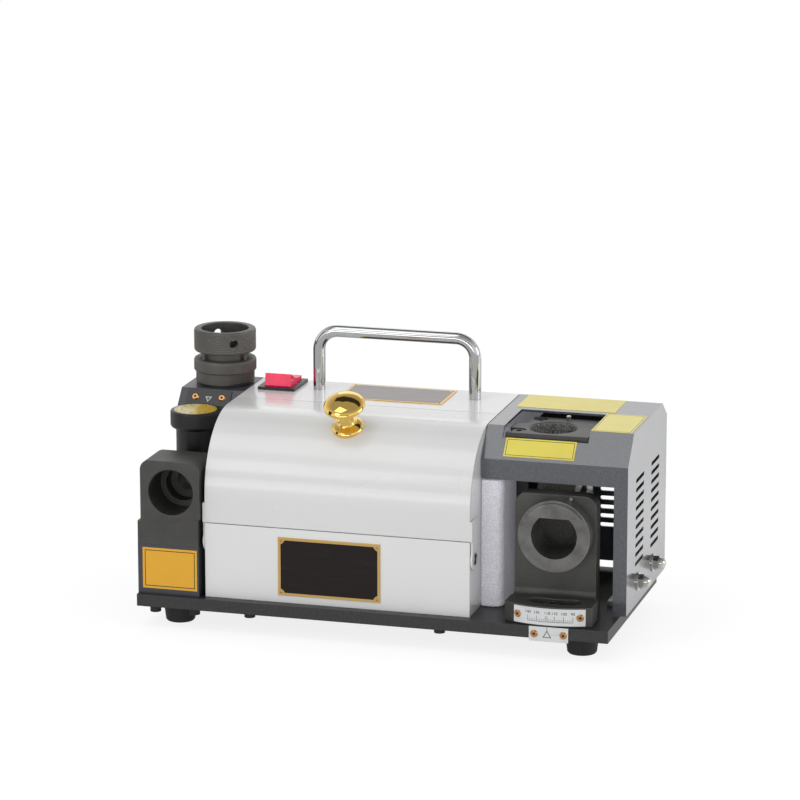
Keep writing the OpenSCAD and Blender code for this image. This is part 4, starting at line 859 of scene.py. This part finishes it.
def knurled_nut():
    """Chuck nut: a turned ring with rolled diamonds and two tommy-bar holes."""
    low, high, radius = 147.8, 162.8, 20.8
    rows, count, margin = 11, 92, 0.9
    holes, hole_z, hole_r = (35, 215), low + 7.6, 3
    row = (high - low - 2 * margin) / rows
    clear()
    bpy.ops.mesh.primitive_cylinder_add(vertices=count, radius=(radius - 0.4) * MM, depth=row * MM,
                                        end_fill_type="NOTHING", location=(0, 0, 0))
    shell = bpy.context.object
    clear()
    bpy.ops.object.empty_add(location=(0, 0, row * MM), rotation=(0, 0, math.pi / count))
    stepper = bpy.context.object
    clear()
    shell.select_set(True)
    bpy.context.view_layer.objects.active = shell
    stack = shell.modifiers.new("rows", "ARRAY")
    stack.use_relative_offset = False
    stack.use_object_offset = True
    stack.offset_object = stepper
    stack.count = rows
    apply_all(shell)
    bpy.ops.object.mode_set(mode="EDIT")
    bpy.ops.mesh.select_all(action="SELECT")
    bpy.ops.mesh.normals_make_consistent(inside=False)
    bpy.ops.mesh.poke(offset=0.42 * MM)
    bpy.ops.mesh.select_mode(type="FACE")
    bpy.ops.mesh.select_all(action="DESELECT")
    bpy.ops.object.mode_set(mode="OBJECT")
    bpy.data.objects.remove(stepper)
    shell.location = at(*CHUCK, low + margin + row / 2)
    bpy.ops.object.transform_apply(location=True, rotation=True, scale=True)
    ways = [Vector((*around((0, 0), degrees, 1), 0)) for degrees in holes]
    for face in shell.data.polygons:
        spot = face.center - at(*CHUCK, hole_z)
        face.select = any(spot.dot(way) > 0 and (spot - way * spot.dot(way)).length < (hole_r + 0.25) * MM
                          for way in ways)
    bpy.ops.object.mode_set(mode="EDIT")
    bpy.ops.mesh.delete(type="FACE")
    bpy.ops.object.mode_set(mode="OBJECT")
    core = lathe([(12.05, 0), (radius - 0.9, 0), (radius - 0.35, 0.6), (radius - 0.35, 14.4),
                  (radius - 0.5, 14.7), (radius - 1.0, 15), (16.4, 15), (15.9, 14.6), (15.9, 3), (12.05, 3)],
                 at(*CHUCK, low), 96)
    for degrees in holes:
        clear()
        bpy.ops.mesh.primitive_cylinder_add(vertices=32, radius=hole_r * MM, depth=12 * MM,
                                            location=at(*around(CHUCK, degrees, 19), hole_z),
                                            rotation=(QUARTER, 0, math.radians(degrees)))
        drill = bpy.context.object
        clear()
        core.select_set(True)
        bpy.context.view_layer.objects.active = core
        cut = core.modifiers.new("hole", "BOOLEAN")
        cut.object = drill
        cut.solver = "EXACT"
        apply_all(core)
        bpy.data.objects.remove(drill)
    join([core, shell])
    settle("knurled_nut", "chuck_nut", knurl_oxide, "chuck_nut", slot="black_oxide")


knurled_nut()


# ---------------------------------------------------------------- knob and handle

def rounded(points, passes):
    """The corners of a profile cut again and again, with both ends kept."""
    for _ in range(passes):
        cut = [points[0]]
        for (r0, z0), (r1, z1) in zip(points, points[1:]):
            cut.append((r0 * 0.75 + r1 * 0.25, z0 * 0.75 + z1 * 0.25))
            cut.append((r0 * 0.25 + r1 * 0.75, z0 * 0.25 + z1 * 0.75))
        points = cut + [points[-1]]
    return points


def turned_knob():
    """Brass knob: a domed head on a waisted neck over a round foot, with its stud through the hood."""
    hood_r, stud_r, foot = 50, 2.5, 0.2
    lean = math.radians(25.5)
    hinge = (-24.0, -16, 75.5)
    head = rounded([(10.4, foot), (10.4, 0.9), (9.2, 2.3), (5.8, 3.4), (4.4, 5.4), (4.2, 11.6),
                    (5.4, 14.1), (9.4, 15.4), (12.8, 16.4), (13.6, 17.6), (13.6, 18.7), (12.6, 20.0),
                    (10.6, 21.4), (7, 22.6), (3.4, 23.15), (1.2, 23.2), (0, 23.2)], 3)
    profile = [(0, -6.5), (stud_r, -6.5), (stud_r, -1.2), (10.4, -1.2)] + head
    place = at(hinge[0], hinge[1] - hood_r * math.sin(lean), hinge[2] + hood_r * math.cos(lean))
    lathe(profile, place, 96, (lean, 0, 0))
    settle("turned_knob", "hood", gold_brass, "hood_knob", slot="polished_brass")


def carrying_handle():
    """One rod bent twice, with a thread at each end through the roof."""
    left, right, deep, roof, top, bend = -66.6, 40.5, 40, ROOF_Z, 165.8, 13
    thread, rod, below = 3, 4, 13
    clear()
    bpy.ops.mesh.primitive_circle_add(vertices=48, radius=thread * MM, fill_type="NOTHING",
                                      location=at(left, deep, roof - below))
    bpy.ops.object.transform_apply(location=True, rotation=True, scale=True)
    bpy.ops.object.mode_set(mode="EDIT")
    bpy.ops.mesh.select_mode(type="EDGE")
    bpy.ops.mesh.select_all(action="SELECT")

    def draw(x, z):
        bpy.ops.mesh.extrude_region_move(TRANSFORM_OT_translate={"value": (x * MM, 0, z * MM)})

    def widen(share, x):
        draw(0, 0)
        bpy.ops.transform.resize(value=(share, share, 1), center_override=at(x, deep, roof))

    def turn_corner(x):
        bpy.ops.mesh.spin(steps=18, angle=-QUARTER, center=at(x, deep, top - bend), axis=(0, 1, 0))

    draw(0, below)
    widen(rod / thread, left)
    draw(0, top - bend - roof)
    turn_corner(left + bend)
    draw(right - left - 2 * bend, 0)
    turn_corner(right - bend)
    draw(0, roof - top + bend)
    widen(thread / rod, right)
    draw(0, -below)
    bpy.ops.mesh.select_all(action="SELECT")
    bpy.ops.mesh.fill_holes(sides=0)
    bpy.ops.mesh.select_all(action="SELECT")
    bpy.ops.mesh.normals_make_consistent(inside=False)
    bpy.ops.object.mode_set(mode="OBJECT")
    bpy.ops.object.shade_smooth_by_angle(angle=SMOOTH_BELOW)
    settle("carrying_handle", "frame", chrome, "handle", slot="chrome")


turned_knob()
carrying_handle()


# ---------------------------------------------------------------- foam partition

def foam_partition():
    """The partition's own solid, set back a little, cut into small blocks and swollen unevenly."""
    source = nodes["foam_seal"]
    clear()
    source.select_set(True)
    bpy.context.view_layer.objects.active = source
    bpy.ops.object.duplicate()
    piece = bpy.context.object
    piece.parent = None
    piece.matrix_world = source.matrix_world
    bpy.ops.object.mode_set(mode="EDIT")
    bpy.ops.mesh.select_all(action="SELECT")
    bpy.ops.mesh.remove_doubles(threshold=0.00001)
    bpy.ops.mesh.normals_make_consistent(inside=False)
    bpy.ops.object.mode_set(mode="OBJECT")
    blocks = piece.modifiers.new("blocks", "REMESH")
    blocks.mode = "VOXEL"
    blocks.voxel_size = 0.0011
    cells = bpy.data.textures.new("foam_cells", "CLOUDS")
    cells.noise_scale = 0.0024
    cells.noise_depth = 3
    swell = piece.modifiers.new("cells", "DISPLACE")
    swell.texture = cells
    swell.texture_coords = "LOCAL"
    swell.strength = 0.0008
    swell.mid_level = 1.0
    apply_all(piece)
    bpy.ops.object.shade_smooth()
    settle("foam_partition", "frame", foam_finish, "foam_seal", slot="grey_foam")


foam_partition()


# ---------------------------------------------------------------- floor and cards

def set_floor():
    """A pale sheet that takes the shadow, and a softer one in reflections."""
    clear()
    bpy.ops.mesh.primitive_plane_add(size=30, location=(0, 0, -0.0001))
    floor = bpy.context.object
    floor.name = "pale_floor"
    paper = Finish("pale_paper", Roughness=0.9, Specular_IOR_Level=0.0)
    eye = paper.node("ShaderNodeLightPath", {}, out="Is Camera Ray")
    mirror = paper.node("ShaderNodeLightPath", {}, out="Is Glossy Ray")
    paper.vary("Base Color", paper.mix(eye.of("MAXIMUM", mirror), (0.82, 0.82, 0.82, 1),
                                       (0.25, 0.25, 0.25, 1)))
    paper.fix(Emission_Strength=1.0)
    patch = paper.ramp(paper.part("X"), 0.14, 0.2) * paper.ramp(paper.part("Y"), -0.06, 0.0)
    glow = eye * 0.83 + mirror * (0.42 + patch * 0.5)
    paper.vary("Emission Color", paper.mix(glow, (0, 0, 0, 1), (1, 1, 1, 1)))
    floor.data.materials.append(paper.material)


def dark_card(name, place, aim, width, height):
    """A dark card that only reflections see."""
    clear()
    turn = (Vector(aim) - Vector(place)).to_track_quat("Z", "Y").to_euler()
    bpy.ops.mesh.primitive_plane_add(size=1, location=place, rotation=turn)
    card = bpy.context.object
    card.name = name
    card.scale = (width, height, 1)
    card.data.materials.append(Finish(name, Base_Color=(0.03, 0.03, 0.035, 1), Roughness=0.9).material)
    card.visible_camera = card.visible_diffuse = card.visible_shadow = card.visible_transmission = False


set_floor()
dark_card("card_front", (0, -3.4, 1.0), (0, 0, 0.1), 3.4, 1.1)
dark_card("card_left", (-2.4, -1.2, 0.7), (0, 0, 0.1), 0.8, 2.0)
dark_card("card_right", (2.5, 1.2, 0.8), (0, 0, 0.1), 0.6, 1.6)
dark_card("card_above", (0.2, 0.9, 2.6), (0, 0, 0.1), 3.4, 0.7)
dark_card("card_low", (-0.2, 0.36, 0.05), (-0.2, 0, 0.05), 0.8, 0.1)
dark_card("card_back", (-0.8, 3.4, 0.1), (0, 0, 0.1), 5.0, 0.24)
